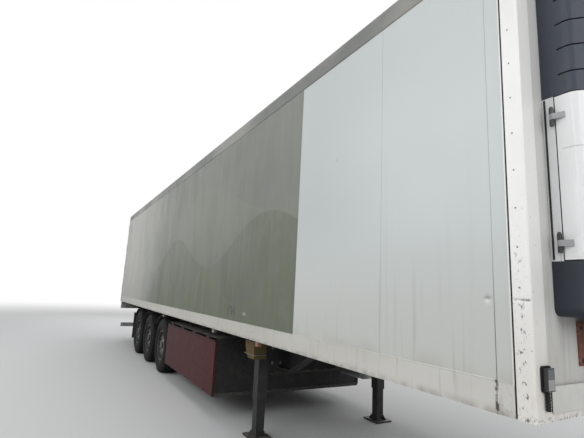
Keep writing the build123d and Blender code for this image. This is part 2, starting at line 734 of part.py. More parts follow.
# Landing gear: housings with their cross shaft, the gearbox and its folded crank on the left
leg_x = x_front - LEG_SETBACK
leg_y = LEG_SPACING / 2
leg_inner_face = leg_y - LEG_OUTER / 2
leg_outer_face = leg_y + LEG_OUTER / 2
with BuildPart() as leg_housings:
    sleeve = LEG_INNER + 2 * SEAT_CLEARANCE
    bracket_span = (BEAM_BOTTOM + LEG_BRACKET_FOOT, LEG_TOP - LEG_BRACKET_HEAD)
    for side in (-1, 1):
        leg_span = about(side * leg_y, LEG_OUTER)
        sleeve_span = about(side * leg_y, sleeve)
        block(about(leg_x, LEG_OUTER), leg_span, (LEG_HOUSING_BOTTOM, LEG_TOP))
        block(about(leg_x, sleeve), sleeve_span, (LEG_HOUSING_BOTTOM, LEG_TOP - LEG_CAP), Mode.SUBTRACT)
        bracket_y = sorted((side * web_face, side * leg_inner_face))
        block(about(leg_x, LEG_BRACKET_WIDTH), bracket_y, bracket_span)
    shaft_level = BEAM_BOTTOM - CROSS_SHAFT_DROP
    rod((leg_x, 0, shaft_level), CROSS_SHAFT_RADIUS, 2 * leg_inner_face, "Y")
    crank_level = BEAM_BOTTOM + GEARBOX[2] / 2
    gearbox_face = leg_outer_face + GEARBOX[1]
    with BuildSketch(Plane.XZ.offset(-gearbox_face)):
        with Locations((leg_x, crank_level)):
            RectangleRounded(GEARBOX[0], GEARBOX[2], GEARBOX_ROUNDING)
    extrude(amount=GEARBOX[1])
    crank_y = gearbox_face + CRANK_STUB
    crank_foot = crank_level - CRANK_REACH
    rod((leg_x, (gearbox_face + crank_y) / 2, crank_level), CRANK_RADIUS, crank_y - gearbox_face, "Y")
    rod((leg_x, crank_y, crank_level - CRANK_REACH / 2), CRANK_RADIUS, CRANK_REACH + 2 * CRANK_RADIUS, "Z")
    rod((leg_x, crank_y + CRANK_GRIP / 2, crank_foot), CRANK_RADIUS, CRANK_GRIP, "Y")
save(leg_housings, "leg_housings")

# The extended inner legs, each on a foot plate with two cheeks
with BuildPart() as leg_feet:
    foot_half = FOOT_LENGTH / 2
    for side in (-1, 1):
        y = side * leg_y
        inner_z = (FOOT_THICKNESS, LEG_HOUSING_BOTTOM + LEG_OVERLAP)
        block(about(leg_x, LEG_INNER), about(y, LEG_INNER), inner_z)
        block((leg_x - foot_half, leg_x + foot_half), about(y, FOOT_WIDTH), (0, FOOT_THICKNESS))
        for face in (-1, 1):
            with BuildSketch(Plane.XZ.offset(y + face * LEG_INNER / 2)):
                with BuildLine():
                    Polyline(
                        (leg_x - foot_half + FOOT_CHEEK_SETBACK, FOOT_THICKNESS),
                        (leg_x + foot_half - FOOT_CHEEK_SETBACK, FOOT_THICKNESS),
                        (leg_x + LEG_INNER / 2, FOOT_THICKNESS + FOOT_CHEEK_HEIGHT),
                        (leg_x - LEG_INNER / 2, FOOT_THICKNESS + FOOT_CHEEK_HEIGHT),
                        close=True,
                    )
                make_face()
            extrude(amount=face * FOOT_CHEEK_THICKNESS)
save(leg_feet, "leg_feet")

# Trailing arms and air springs
with BuildPart() as trailing_arms:
    axle_top = TYRE_RADIUS + AXLE_TUBE / 2
    pin_length = ARM_WIDTH + 2 * (HANGER_CHEEK + ARM_PIN_PROUD)
    for axle in axles:
        pivot_x = axle + ARM_PIVOT_AHEAD
        seat_x = axle - AIR_SPRING_BEHIND
        with BuildSketch(Plane.XZ.offset(beam_y)):
            with BuildLine():
                Polyline(
                    (pivot_x, ARM_PIVOT_LEVEL + ARM_THICKNESS / 2),
                    (axle + ARM_SADDLE, axle_top + ARM_THICKNESS),
                    (axle - ARM_SADDLE, axle_top + ARM_THICKNESS),
                    (seat_x + ARM_SEAT_REACH, AIR_SPRING_SEAT),
                    (seat_x - ARM_SEAT_REACH, AIR_SPRING_SEAT),
                    (seat_x - ARM_SEAT_REACH, AIR_SPRING_SEAT - ARM_TAIL_THICKNESS),
                    (seat_x + ARM_SEAT_REACH - ARM_TAIL_TAPER, AIR_SPRING_SEAT - ARM_TAIL_THICKNESS),
                    (axle - ARM_SADDLE + ARM_SADDLE_TAPER, axle_top),
                    (axle + ARM_SADDLE - ARM_SADDLE_TAPER, axle_top),
                    (pivot_x, ARM_PIVOT_LEVEL - ARM_THICKNESS / 2),
                    close=True,
                )
            make_face()
            with Locations((pivot_x, ARM_PIVOT_LEVEL)):
                Circle(ARM_EYE_RADIUS)
        extrude(amount=ARM_WIDTH / 2, both=True)
        rod((pivot_x, -beam_y, ARM_PIVOT_LEVEL), ARM_PIN_RADIUS, pin_length, "Y")
    mirror(about=Plane.XZ)
save(trailing_arms, "trailing_arms")

with BuildPart() as air_springs:
    piston_top = AIR_SPRING_SEAT + PISTON_HEIGHT
    for axle in axles:
        for side in (1, -1):
            spring_x = axle - AIR_SPRING_BEHIND
            with BuildSketch(upright(spring_x, side * beam_y)):
                with BuildLine():
                    Polyline(
                        (0, AIR_SPRING_SEAT),
                        (PISTON_RADIUS, AIR_SPRING_SEAT),
                        (PISTON_RADIUS, piston_top),
                        (AIR_SPRING_RADIUS, piston_top + AIR_SPRING_RADIUS - PISTON_RADIUS),
                        (AIR_SPRING_RADIUS, BEAM_BOTTOM - BELLOWS_SHOULDER[1]),
                        (AIR_SPRING_RADIUS - BELLOWS_SHOULDER[0], BEAM_BOTTOM),
                        (0, BEAM_BOTTOM),
                        close=True,
                    )
                make_face()
            revolve(axis=Axis((spring_x, side * beam_y, 0), (0, 0, 1)))
save(air_springs, "air_springs")

# Axles: a square tube, a spindle at each end, and the brake caliper and chamber beside it
wheel_y = WHEEL_OUTER_FACE - TYRE_WIDTH / 2
hub_inner = wheel_y - HUB_BACK
with BuildPart() as axle_beams:
    tube_end = hub_inner - AXLE_END_GAP
    chamber_end = tube_end - CALIPER_START
    for axle in axles:
        block(about(axle, AXLE_TUBE), (-tube_end, tube_end), about(TYRE_RADIUS, AXLE_TUBE))
        rod((axle, 0, TYRE_RADIUS), HUB_BORE - SPINDLE_PLAY, 2 * (wheel_y + SPINDLE_REACH), "Y")
        for side in (-1, 1):
            chamber_middle = side * (chamber_end - BRAKE_CHAMBER_LENGTH / 2)
            chamber_place = (axle + BRAKE_CHAMBER_AHEAD, chamber_middle, TYRE_RADIUS + BRAKE_CHAMBER_RISE)
            rod(chamber_place, BRAKE_CHAMBER_RADIUS, BRAKE_CHAMBER_LENGTH, "Y")
            caliper_y = sorted((side * chamber_end, side * (hub_inner - CALIPER_GAP)))
            caliper_z = about(TYRE_RADIUS + CALIPER_RISE, CALIPER[1])
            block(about(axle + CALIPER_AHEAD, CALIPER[0]), caliper_y, caliper_z)
save(axle_beams, "axle_beams")

# One wheel at the origin, facing right: a pressed rim with its hub and brake disc
rim_end = RIM_WIDTH / 2
seat = BEAD_RADIUS - SEAT_CLEARANCE
with BuildPart() as rim:
    seat_in = seat - RIM_WALL
    well_in = WELL_RADIUS - RIM_WALL
    well_back, well_front = WELL_SPAN
    flange_top = BEAD_RADIUS + RIM_FLANGE_RISE
    flange_end = rim_end + RIM_FLANGE_THICKNESS
    disc_back = BRAKE_DISC_WIDTH - HUB_BACK
    with BuildSketch(Plane(origin=(0, 0, 0), x_dir=(1, 0, 0), z_dir=(0, 0, -1))):
        with BuildLine():
            Polyline(
                (HUB_BORE, -HUB_BACK),
                (BRAKE_DISC_RADIUS, -HUB_BACK),
                (BRAKE_DISC_RADIUS, disc_back),
                (HUB_RADIUS, disc_back),
                (HUB_RADIUS, DISC_OFFSET - DISC_THICKNESS),
                (DISC_EDGE_RADIUS, DISC_OFFSET - DISC_THICKNESS),
                (well_in, well_front - DISC_JOIN),
                (well_in, well_back - WALL_SHIFT),
                (seat_in, well_back - WELL_RAMP - WALL_SHIFT),
                (seat_in, -flange_end),
                (flange_top, -flange_end),
                (flange_top, -rim_end),
                (seat, -rim_end),
                (seat, well_back - WELL_RAMP),
                (WELL_RADIUS, well_back),
                (WELL_RADIUS, well_front),
                (seat, well_front + WELL_RAMP),
                (seat, rim_end),
                (flange_top, rim_end),
                (flange_top, flange_end),
                (seat_in, flange_end),
                (seat_in, well_front + WELL_RAMP + WALL_SHIFT),
                (DISC_EDGE_RADIUS + DISC_LEAN, DISC_OFFSET),
                (HUB_CAP_RADIUS, DISC_OFFSET),
                (HUB_CAP_RADIUS, flange_end),
                (0, flange_end),
                (0, HUB_DEPTH),
                (HUB_BORE, HUB_DEPTH),
                close=True,
            )
        make_face()
    revolve(axis=Axis((0, 0, 0), (0, -1, 0)))
    with BuildSketch(Plane.XZ.offset(DISC_OFFSET)):
        with PolarLocations(HAND_HOLE_CIRCLE, HAND_HOLES):
            Circle(HAND_HOLE_RADIUS)
    extrude(amount=-2 * DISC_THICKNESS, mode=Mode.SUBTRACT)


def flats(radius):
    """A ring of flats whose faces lie at a radius."""
    return RegularPolygon(radius, TYRE_FLATS, major_radius=False, rotation=180 / TYRE_FLATS)


# Its tyre, rolled from flats: sloped shoulders outside, and sidewalls that lean in to the bead
with BuildPart() as tyre:
    half_tyre = TYRE_WIDTH / 2
    with BuildSketch(Plane.XZ.offset(-half_tyre)):
        flats(TYRE_RADIUS)
    extrude(amount=TYRE_WIDTH)
    for end in (0, -1):
        tyre_side = tyre.faces().sort_by(Axis.Y)[end]
        chamfer(tyre_side.edges(), TYRE_RADIUS - SIDEWALL_HIGH_RADIUS, SHOULDER, reference=tyre_side)
    with BuildSketch(Plane.XZ.offset(-half_tyre)):
        flats(BEAD_RADIUS)
    extrude(amount=TYRE_WIDTH, mode=Mode.SUBTRACT)
    with BuildPart(mode=Mode.PRIVATE) as sidewall_hollow:
        with BuildSketch(Plane.XZ.offset(rim_end)):
            flats(SIDEWALL_LOW_RADIUS)
        extrude(amount=TYRE_WIDTH / 2)
        bead_side = sidewall_hollow.faces().sort_by(Axis.Y)[-1]
        bead_rise = SIDEWALL_LOW_RADIUS - BEAD_RADIUS - BEAD_HEEL
        chamfer(bead_side.edges(), bead_rise, half_tyre - rim_end, reference=bead_side)
    add(sidewall_hollow.part, mode=Mode.SUBTRACT)
    add(sidewall_hollow.part.rotate(Axis.Z, 180), mode=Mode.SUBTRACT)

# The six wheels, counted from the front axle
for side_name, side, facing in (("right", -1, 0), ("left", 1, 180)):
    for number, axle in enumerate(axles, start=1):
        wheel_place = Location((axle, side * wheel_y, TYRE_RADIUS), (0, 0, facing))
        for piece_name, piece in (("rim", rim), ("tyre", tyre)):
            with BuildPart() as placed_piece:
                add(piece.part.moved(wheel_place))
            save(placed_piece, f"wheel_{side_name}_{number}_{piece_name}")

# Mudguards: an arched sheet over each wheel on two stays, and flaps behind the last wheels
with BuildPart() as mudguards:
    guard_in = WHEEL_OUTER_FACE - MUDGUARD_WIDTH
    guard_out = MUDGUARD_RADIUS + MUDGUARD_THICKNESS
    stay_reach = WHEEL_OUTER_FACE - STAY_INSET - web_face
    stay_middle = -(web_face + stay_reach / 2)
    stay_circle = MUDGUARD_RADIUS + STAY_RISE
    stay_angle = radians(90 + MUDGUARD_HALF_ANGLE - STAY_TURN)
    for axle in axles:
        with BuildSketch(upright(axle, -guard_in)):
            with BuildLine():
                for radius in (MUDGUARD_RADIUS, guard_out):
                    CenterArc((0, TYRE_RADIUS), radius, 90 - MUDGUARD_HALF_ANGLE, 2 * MUDGUARD_HALF_ANGLE)
                for angle in (90 - MUDGUARD_HALF_ANGLE, 90 + MUDGUARD_HALF_ANGLE):
                    ray = (cos(radians(angle)), sin(radians(angle)))
                    Line(
                        (MUDGUARD_RADIUS * ray[0], TYRE_RADIUS + MUDGUARD_RADIUS * ray[1]),
                        (guard_out * ray[0], TYRE_RADIUS + guard_out * ray[1]),
                    )
            make_face()
        extrude(amount=MUDGUARD_WIDTH)
        stay_x = axle + stay_circle * cos(stay_angle)
        stay_z = TYRE_RADIUS + stay_circle * sin(stay_angle)
        rod((stay_x, stay_middle, stay_z), STAY_RADIUS, stay_reach, "Y")
    flap_x = axles[-1] - MUDGUARD_RADIUS - MUD_FLAP_GAP
    flap_span = (MUD_FLAP_BOTTOM, MUD_FLAP_BOTTOM + MUD_FLAP_HEIGHT)
    block((flap_x - MUD_FLAP_THICKNESS, flap_x), (-WHEEL_OUTER_FACE, -guard_in), flap_span)
    flap_stay_place = (flap_x - MUD_FLAP_THICKNESS / 2, stay_middle, MUD_FLAP_STAY_LEVEL)
    rod(flap_stay_place, STAY_RADIUS, stay_reach, "Y")
    mirror(about=Plane.XZ)
save(mudguards, "mudguards")

# Pallet box: an open-ended steel tunnel across the frame, stepped down under the beams
box_front = x_front - BOX_FRONT_SETBACK
box_rear = box_front - BOX_LENGTH
shoulder_y = beam_y + beam_half_width + BOX_BEAM_GAP
flap_y = BOX_HALF_WIDTH + FLAP_GAP + FLAP_THICKNESS / 2
flap_axis_z = BOX_TOP - FLAP_AXIS_DROP
flap_hinge_places = [box_rear + BOX_LENGTH * (n + 0.5) / FLAP_HINGES for n in range(FLAP_HINGES)]
lug_inner = FLAP_KNUCKLE_LENGTH / 2 + FLAP_LUG_GAP
lug_outer = lug_inner + FLAP_LUG


def box_outline(wall, overrun):
    """The outline across the pallet box, a wall's thickness in, with open sides that run over."""
    side_y = BOX_HALF_WIDTH + overrun
    step_y = shoulder_y + wall
    roof_z = BOX_TOP - wall
    step_z = BEAM_BOTTOM - wall
    floor_z = BOX_BOTTOM + wall
    right_half = [(-step_y, step_z), (-step_y, roof_z), (-side_y, roof_z), (-side_y, floor_z)]
    return right_half + [(-y, z) for y, z in reversed(right_half)]


with BuildPart() as pallet_box:
    with BuildSketch(Plane.YZ.offset(box_rear)):
        with BuildLine():
            Polyline(*box_outline(0, 0), close=True)
        make_face()
    extrude(amount=BOX_LENGTH)
    with BuildSketch(Plane.YZ.offset(box_rear + BOX_WALL)):
        with BuildLine():
            Polyline(*box_outline(BOX_WALL, FLAP_GAP), close=True)
        make_face()
    extrude(amount=BOX_LENGTH - 2 * BOX_WALL, mode=Mode.SUBTRACT)
    for x in ((box_rear - BOX_RIM[0], box_rear), (box_front, box_front + BOX_RIM[0])):
        block(x, (-BOX_HALF_WIDTH, BOX_HALF_WIDTH), (BOX_BOTTOM, BOX_BOTTOM + BOX_RIM[1]))
    lug_z = (flap_axis_z - FLAP_KNUCKLE, BOX_TOP)
    for place in flap_hinge_places:
        for outward in (-1, 1):
            lug_root = BOX_HALF_WIDTH - FLAP_LUG_ROOT
            lug_y = sorted((outward * lug_root, outward * (flap_y + FLAP_KNUCKLE)))
            block((place - lug_outer, place - lug_inner), lug_y, lug_z)
            block((place + lug_inner, place + lug_outer), lug_y, lug_z)
            rod((place, outward * flap_y, flap_axis_z), FLAP_PIN, 2 * lug_outer, "X")
save(pallet_box, "pallet_box")

with BuildPart() as box_flap_right:
    flap_low = BOX_BOTTOM + FLAP_FOOT_GAP
    flap_high = flap_axis_z - FLAP_KNUCKLE - FLAP_HEAD_GAP
    y_skin = about(-flap_y, FLAP_THICKNESS)
    block((box_rear + FLAP_END_GAP, box_front - FLAP_END_GAP), y_skin, (flap_low, flap_high))
    for place in flap_hinge_places:
        block(about(place, FLAP_KNUCKLE_LENGTH), y_skin, (flap_high, flap_axis_z))
        rod((place, -flap_y, flap_axis_z), FLAP_KNUCKLE, FLAP_KNUCKLE_LENGTH, "X")
        bore_radius = FLAP_PIN + PIN_PLAY
        rod((place, -flap_y, flap_axis_z), bore_radius, FLAP_KNUCKLE_LENGTH, "X", Mode.SUBTRACT)
save(box_flap_right, "box_flap_right")

with BuildPart() as box_flap_left:
    mirror(box_flap_right.part, about=Plane.XZ)
save(box_flap_left, "box_flap_left")

# Air tanks between the beams, each hung on two straps
with BuildPart() as air_tanks:
    first_tank_x = box_front + AIR_TANK_GAP + AIR_TANK_RADIUS
    tank_places = [first_tank_x + AIR_TANK_PITCH * n for n in range(AIR_TANKS)]
    for tank_x in tank_places:
        rod((tank_x, 0, AIR_TANK_LEVEL), AIR_TANK_RADIUS, AIR_TANK_LENGTH, "Y")
    fillet(air_tanks.edges().filter_by(GeomType.CIRCLE), AIR_TANK_ROUNDING)
    strap_y = AIR_TANK_LENGTH / 2 - AIR_TANK_STRAP_INSET
    for tank_x in tank_places:
        for y in both_sides((strap_y - AIR_TANK_STRAP, strap_y)):
            block(about(tank_x, AIR_TANK_STRAP), y, (AIR_TANK_LEVEL, panel_bottom))
save(air_tanks, "air_tanks")

# The unit's fuel tank on the left, in two strap brackets on the beam
with BuildPart() as fuel_tank:
    tank_length, tank_width, tank_height = FUEL_TANK
    tank_mid = box_front + FUEL_TANK_GAP + tank_length / 2
    tank_outer = WHEEL_OUTER_FACE - FUEL_TANK_INSET
    tank_inner = tank_outer - tank_width
    tank_middle_y = (tank_outer + tank_inner) / 2
    with BuildSketch(Plane.YZ.offset(tank_mid - tank_length / 2)):
        with Locations((tank_middle_y, FUEL_TANK_LEVEL)):
            RectangleRounded(tank_width, tank_height, FUEL_TANK_ROUNDING)
    extrude(amount=tank_length)
    for place in FUEL_BRACKET_PLACES:
        bracket_x = about(tank_mid + place, FUEL_BRACKET_WIDTH)
        with BuildSketch(Plane.YZ.offset(bracket_x[0])):
            with Locations((tank_middle_y, FUEL_TANK_LEVEL)):
                strap = 2 * FUEL_STRAP_THICKNESS
                RectangleRounded(tank_width + strap, tank_height + strap, FUEL_TANK_ROUNDING)
        extrude(amount=FUEL_BRACKET_WIDTH)
        bracket_z = [FUEL_TANK_LEVEL + rise for rise in FUEL_BRACKET_RISES]
        block(bracket_x, (web_face, tank_inner), bracket_z)
    cap_place = (tank_mid + FUEL_CAP_PLACE[0], tank_outer, FUEL_TANK_LEVEL + FUEL_CAP_PLACE[1])
    rod(cap_place, FUEL_CAP_RADIUS, 2 * FUEL_CAP_REACH, "Y")
save(fuel_tank, "fuel_tank")

# Lamps: four markers along each side, and one on each front post
with BuildPart() as marker_lamps:
    for setback in SIDE_LAMP_SETBACKS:
        for y in both_sides((half_width - SIDE_LAMP_INSET - SIDE_LAMP[1], half_width - SIDE_LAMP_INSET)):
            block(about(x_front - setback, SIDE_LAMP[0]), y, (RAIL_BOTTOM - SIDE_LAMP[2], RAIL_BOTTOM))
    lamp_outer = half_width - FRONT_LAMP_INSET
    for y in both_sides((lamp_outer - FRONT_LAMP[1], lamp_outer)):
        block((x_front, x_front + FRONT_LAMP[0]), y, (FRONT_LAMP_BOTTOM, FRONT_LAMP_BOTTOM + FRONT_LAMP[2]))
    fillet(marker_lamps.edges().filter_by(Axis.Z), LAMP_ROUNDING)
save(marker_lamps, "marker_lamps")

# Refrigeration unit: bowed plan, dark shroud over two service doors and a dark lower fairing
unit_half = UNIT_WIDTH / 2
unit_head = BODY_HEIGHT - UNIT_HEAD_GAP
door_foot = UNIT_BOTTOM + UNIT_FAIRING_HEIGHT
door_head = door_foot + UNIT_DOOR_HEIGHT
turn = radians(UNIT_CORNER_TURN)
flank_end = x_front + UNIT_FLANK
corner_end = (
    flank_end + UNIT_CORNER_RADIUS * sin(turn),
    -unit_half + UNIT_CORNER_RADIUS * (1 - cos(turn)),
)
unit_nose = x_front + UNIT_DEPTH
bow_radius = (unit_nose - corner_end[0]) / (1 - sin(turn))
nose_y = corner_end[1] + bow_radius * cos(turn)
with BuildSketch() as unit_plan:
    with BuildLine():
        Line((front_wall_face, -unit_half), (flank_end, -unit_half))
        CenterArc((flank_end, -unit_half + UNIT_CORNER_RADIUS), UNIT_CORNER_RADIUS, -90, UNIT_CORNER_TURN)
        bow_middle = (unit_nose - bow_radius, nose_y)
        CenterArc(bow_middle, bow_radius, UNIT_CORNER_TURN - 90, 90 - UNIT_CORNER_TURN)
        Line((unit_nose, nose_y), (unit_nose, 0))
        mirror(about=Plane.XZ)
        Line((front_wall_face, unit_half), (front_wall_face, -unit_half))
    make_face()


def groove_sketch(level, depth):
    """The plan of a groove round the unit, from past its flank over the nose."""
    with BuildSketch(Plane.XY.offset(level)) as groove:
        add(unit_plan.sketch)
        with BuildSketch(mode=Mode.PRIVATE) as left_standing:
            add(unit_plan.sketch)
            offset(amount=-depth)
        add(left_standing.sketch, mode=Mode.SUBTRACT)
        with Locations((x_front + GROOVE_START - UNIT_DEPTH, 0)):
            Rectangle(2 * UNIT_DEPTH, 2 * UNIT_WIDTH, mode=Mode.SUBTRACT)
    return groove.sketch


with BuildPart() as unit_shroud:
    with BuildSketch(Plane.XY.offset(door_head)):
        add(unit_plan.sketch)
    extrude(amount=unit_head - door_head)
    fillet(unit_shroud.faces().sort_by(Axis.Z)[-1].edges().sort_by(Axis.X)[1:], UNIT_TOP_ROUNDING)
    groove_foot = door_head + SHROUD_GROOVE_RISE
    groove_room = unit_head - SHROUD_GROOVE_MARGIN - groove_foot
    for n in range(int(groove_room // SHROUD_GROOVE_PITCH) + 1):
        level = groove_foot + n * SHROUD_GROOVE_PITCH
        extrude(groove_sketch(level, GROOVE_DEPTH), amount=GROOVE_HEIGHT, mode=Mode.SUBTRACT)
    with BuildSketch(Plane.XY.offset(unit_head)):
        with Locations(*[(x_front + FAN_PLACE[0], side * FAN_PLACE[1]) for side in (-1, 1)]):
            Circle(FAN_RADIUS)
            Circle(FAN_HUB_RADIUS, mode=Mode.SUBTRACT)
    extrude(amount=-FAN_WELL, mode=Mode.SUBTRACT)
save(unit_shroud, "unit_shroud")

with BuildPart() as unit_fairing:
    with BuildSketch(Plane.XY.offset(UNIT_BOTTOM)):
        add(unit_plan.sketch)
    extrude(amount=UNIT_FAIRING_HEIGHT)
    fillet(unit_fairing.faces().sort_by(Axis.Z)[0].edges().sort_by(Axis.X)[1:], UNIT_FOOT_ROUNDING)
save(unit_fairing, "unit_fairing")

seam_x = x_front + UNIT_SEAM
unit_pin_x = seam_x - UNIT_PIN_BEHIND
unit_pin_y = unit_half + UNIT_PIN_PROUD
unit_hinges = [door_foot + rise for rise in UNIT_HINGE_RISES]
with BuildPart() as unit_bay:
    with BuildSketch(Plane.XY.offset(door_foot)):
        add(unit_plan.sketch)
        with Locations((front_wall_face + UNIT_BACK_PLATE + UNIT_DEPTH, 0)):
            Rectangle(2 * UNIT_DEPTH, UNIT_WIDTH - 2 * UNIT_DOOR_WALL, mode=Mode.SUBTRACT)
        with Locations((seam_x - UNIT_GAP + UNIT_DEPTH, 0)):
            Rectangle(2 * UNIT_DEPTH, 2 * UNIT_WIDTH, mode=Mode.SUBTRACT)
    extrude(amount=UNIT_DOOR_HEIGHT)
    knuckle_step = UNIT_KNUCKLE_HEIGHT + UNIT_KNUCKLE_GAP
    for side in (-1, 1):
        lug_y = sorted((side * (unit_half - UNIT_LUG_ROOT), side * unit_pin_y))
        for level in unit_hinges:
            for knuckle_middle in (level - knuckle_step, level + knuckle_step):
                knuckle_z = about(knuckle_middle, UNIT_KNUCKLE_HEIGHT)
                block((unit_pin_x - UNIT_KNUCKLE, unit_pin_x), lug_y, knuckle_z)
                rod((unit_pin_x, side * unit_pin_y, knuckle_middle), UNIT_KNUCKLE, UNIT_KNUCKLE_HEIGHT, "Z")
            rod((unit_pin_x, side * unit_pin_y, level), UNIT_PIN, 3 * UNIT_KNUCKLE_HEIGHT, "Z")
save(unit_bay, "unit_bay")

# Service doors: moulded shells that wrap round the corner to the middle, each on two hinges
with BuildPart() as unit_door_right:
    with BuildSketch(Plane.XY.offset(door_foot + UNIT_GAP)):
        add(unit_plan.sketch)
        with BuildSketch(mode=Mode.PRIVATE) as unit_inner:
            add(unit_plan.sketch)
            offset(amount=-UNIT_DOOR_WALL)
        add(unit_inner.sketch, mode=Mode.SUBTRACT)
        with Locations((seam_x + UNIT_DEPTH, -UNIT_WIDTH / 2 - UNIT_GAP / 2)):
            Rectangle(2 * UNIT_DEPTH, UNIT_WIDTH, mode=Mode.INTERSECT)
    extrude(amount=UNIT_DOOR_HEIGHT - 2 * UNIT_GAP)
    door_groove = groove_sketch(door_foot + DOOR_GROOVE_RISE, DOOR_GROOVE)
    extrude(door_groove, amount=DOOR_GROOVE, mode=Mode.SUBTRACT)
    arm_face = -unit_half - UNIT_HINGE_PLATE
    arm_root = -unit_half + UNIT_HINGE_BITE
    for level in unit_hinges:
        with BuildSketch(Plane.XY.offset(level - UNIT_KNUCKLE_HEIGHT / 2)):
            with BuildLine():
                Polyline(
                    (unit_pin_x, -unit_pin_y - UNIT_KNUCKLE),
                    (unit_pin_x + UNIT_KNUCKLE, -unit_pin_y - UNIT_KNUCKLE),
                    (seam_x + UNIT_HINGE_ARM, arm_face),
                    (seam_x + UNIT_HINGE_ARM, arm_root),
                    (seam_x + UNIT_HINGE_CLEAR, arm_root),
                    (seam_x + UNIT_HINGE_CLEAR, arm_face),
                    (unit_pin_x, arm_face),
                    close=True,
                )
            make_face()
            with Locations((unit_pin_x, -unit_pin_y)):
                Circle(UNIT_KNUCKLE)
                Circle(UNIT_PIN + PIN_PLAY, mode=Mode.SUBTRACT)
        extrude(amount=UNIT_KNUCKLE_HEIGHT)
save(unit_door_right, "unit_door_right")

with BuildPart() as unit_door_left:
    mirror(unit_door_right.part, about=Plane.XZ)
save(unit_door_left, "unit_door_left")

with BuildPart() as engine_block:
    engine_back = x_front + ENGINE_SETBACK
    engine_z = (door_foot, door_foot + ENGINE_SIZE[2])
    block((engine_back, engine_back + ENGINE_SIZE[0]), about(0, ENGINE_SIZE[1]), engine_z)
save(engine_block, "engine_block")

# Coupling board below the unit: a plate with a shelf over its air and electric couplings
with BuildPart() as coupling_board:
    board_y = about(0, BOARD_WIDTH)
    board_high = UNIT_BOTTOM - BOARD_DROP
    board_low = board_high - BOARD_HEIGHT
    board_face = front_wall_face + BOARD_THICKNESS
    block((front_wall_face, board_face), board_y, (board_low, board_high))
    block((board_face, front_wall_face + BOARD_SHELF), board_y, (board_high - BOARD_THICKNESS, board_high))
    for place, radius, depth in COUPLINGS:
        rod((board_face + depth / 2, place, (board_low + board_high) / 2), radius, depth, "X")
save(coupling_board, "coupling_board")

# The stowed wheel chock, flat against the outer face of the right leg
with BuildPart() as wheel_chock:
    chock_length, chock_width, chock_height = CHOCK
    chock_front = leg_x + CHOCK_AHEAD
    chock_top = CHOCK_BOTTOM + chock_height
    with BuildSketch(Plane.XZ.offset(leg_outer_face)):
        with BuildLine():
            hollow_top = (chock_front - chock_length, chock_top)
            hollow_foot = (chock_front - CHOCK_FOOT, CHOCK_BOTTOM)
            Polyline(hollow_top, (chock_front, chock_top), (chock_front, CHOCK_BOTTOM), hollow_foot)
            RadiusArc(hollow_foot, hollow_top, CHOCK_CURVE)
        make_face()
    extrude(amount=chock_width)
save(wheel_chock, "wheel_chock")
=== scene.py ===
# Looks of the refrigerated semi-trailer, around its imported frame. Metres, Z up, X forward.
import json
from math import atan2, cos, pi, radians, sin

import bpy
import numpy as np
from mathutils import Matrix, Vector


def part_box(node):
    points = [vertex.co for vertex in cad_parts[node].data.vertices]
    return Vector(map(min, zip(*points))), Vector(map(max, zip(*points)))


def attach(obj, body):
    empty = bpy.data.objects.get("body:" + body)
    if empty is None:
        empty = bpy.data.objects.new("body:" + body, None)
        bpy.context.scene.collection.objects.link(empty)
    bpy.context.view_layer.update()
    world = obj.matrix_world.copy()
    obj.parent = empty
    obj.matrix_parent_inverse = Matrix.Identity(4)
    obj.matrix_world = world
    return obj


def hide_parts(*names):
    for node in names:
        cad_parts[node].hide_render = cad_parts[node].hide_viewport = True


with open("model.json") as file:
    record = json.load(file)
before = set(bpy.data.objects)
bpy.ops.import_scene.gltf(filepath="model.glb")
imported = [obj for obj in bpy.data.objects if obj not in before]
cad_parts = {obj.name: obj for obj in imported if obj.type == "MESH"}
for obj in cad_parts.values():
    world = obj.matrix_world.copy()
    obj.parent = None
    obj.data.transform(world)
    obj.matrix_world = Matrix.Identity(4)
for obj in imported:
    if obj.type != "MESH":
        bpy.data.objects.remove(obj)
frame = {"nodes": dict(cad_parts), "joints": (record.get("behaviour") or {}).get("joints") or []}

for leftover in ("Cube", "Light", "Camera"):
    if leftover in bpy.data.objects:
        bpy.data.objects.remove(bpy.data.objects[leftover])
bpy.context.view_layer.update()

# Camera
CAMERA_PLACE = (7.812, -3.333, 1.735)
CAMERA_YAW = radians(29.557)
CAMERA_PITCH = radians(10.137)
CAMERA_ROLL = radians(2.851)
CAMERA_LENS = 25.29
SENSOR = 36.0


def low(node):
    """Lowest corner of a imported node."""
    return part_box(node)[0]


def high(node):
    """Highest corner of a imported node."""
    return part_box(node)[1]


# Places read from the frame
SIDES = {"right": -1, "left": 1}
HALF_WIDTH = high("front_frame").y
WALL_FACE = high("side_wall_left").y
WALL_INSIDE = low("side_wall_left").y
FRONT_FACE = high("front_frame").x
WALL_REAR = low("side_wall_right").x
WALL_FRONT = high("side_wall_right").x
SILL_BOTTOM = low("side_rails").z
ROOF_TOP = high("side_rails").z
FLOOR_TOP = high("floor_panel").z
UNIT_FRONT = high("unit_shroud").x
UNIT_HALF = high("unit_shroud").y
UNIT_FOOT = low("unit_fairing").z
UNIT_DOOR_FOOT = high("unit_fairing").z
UNIT_DOOR_HEAD = low("unit_shroud").z
REAR_FACE = low("door_right_panel").x

# Places seen on the object
SILL_LIP = 1.338
ROOF_LIP = 3.849
POST_SEAM = 6.431
PANEL_SEAM = 5.549
FILM_FRONT = 4.342
RIVET_LINE = 6.574
RIVET_FIRST = 1.610
RIVET_PITCH = 0.205
RIVET_COUNT = 12
LAMP_Y = 1.2185
LAMP_SPLIT = 1.385
PANEL_DENT = (6.395, -WALL_FACE, 1.752)
POST_CREASE = 1.754


# Shapes: arrays of points with the quads and triangles between them

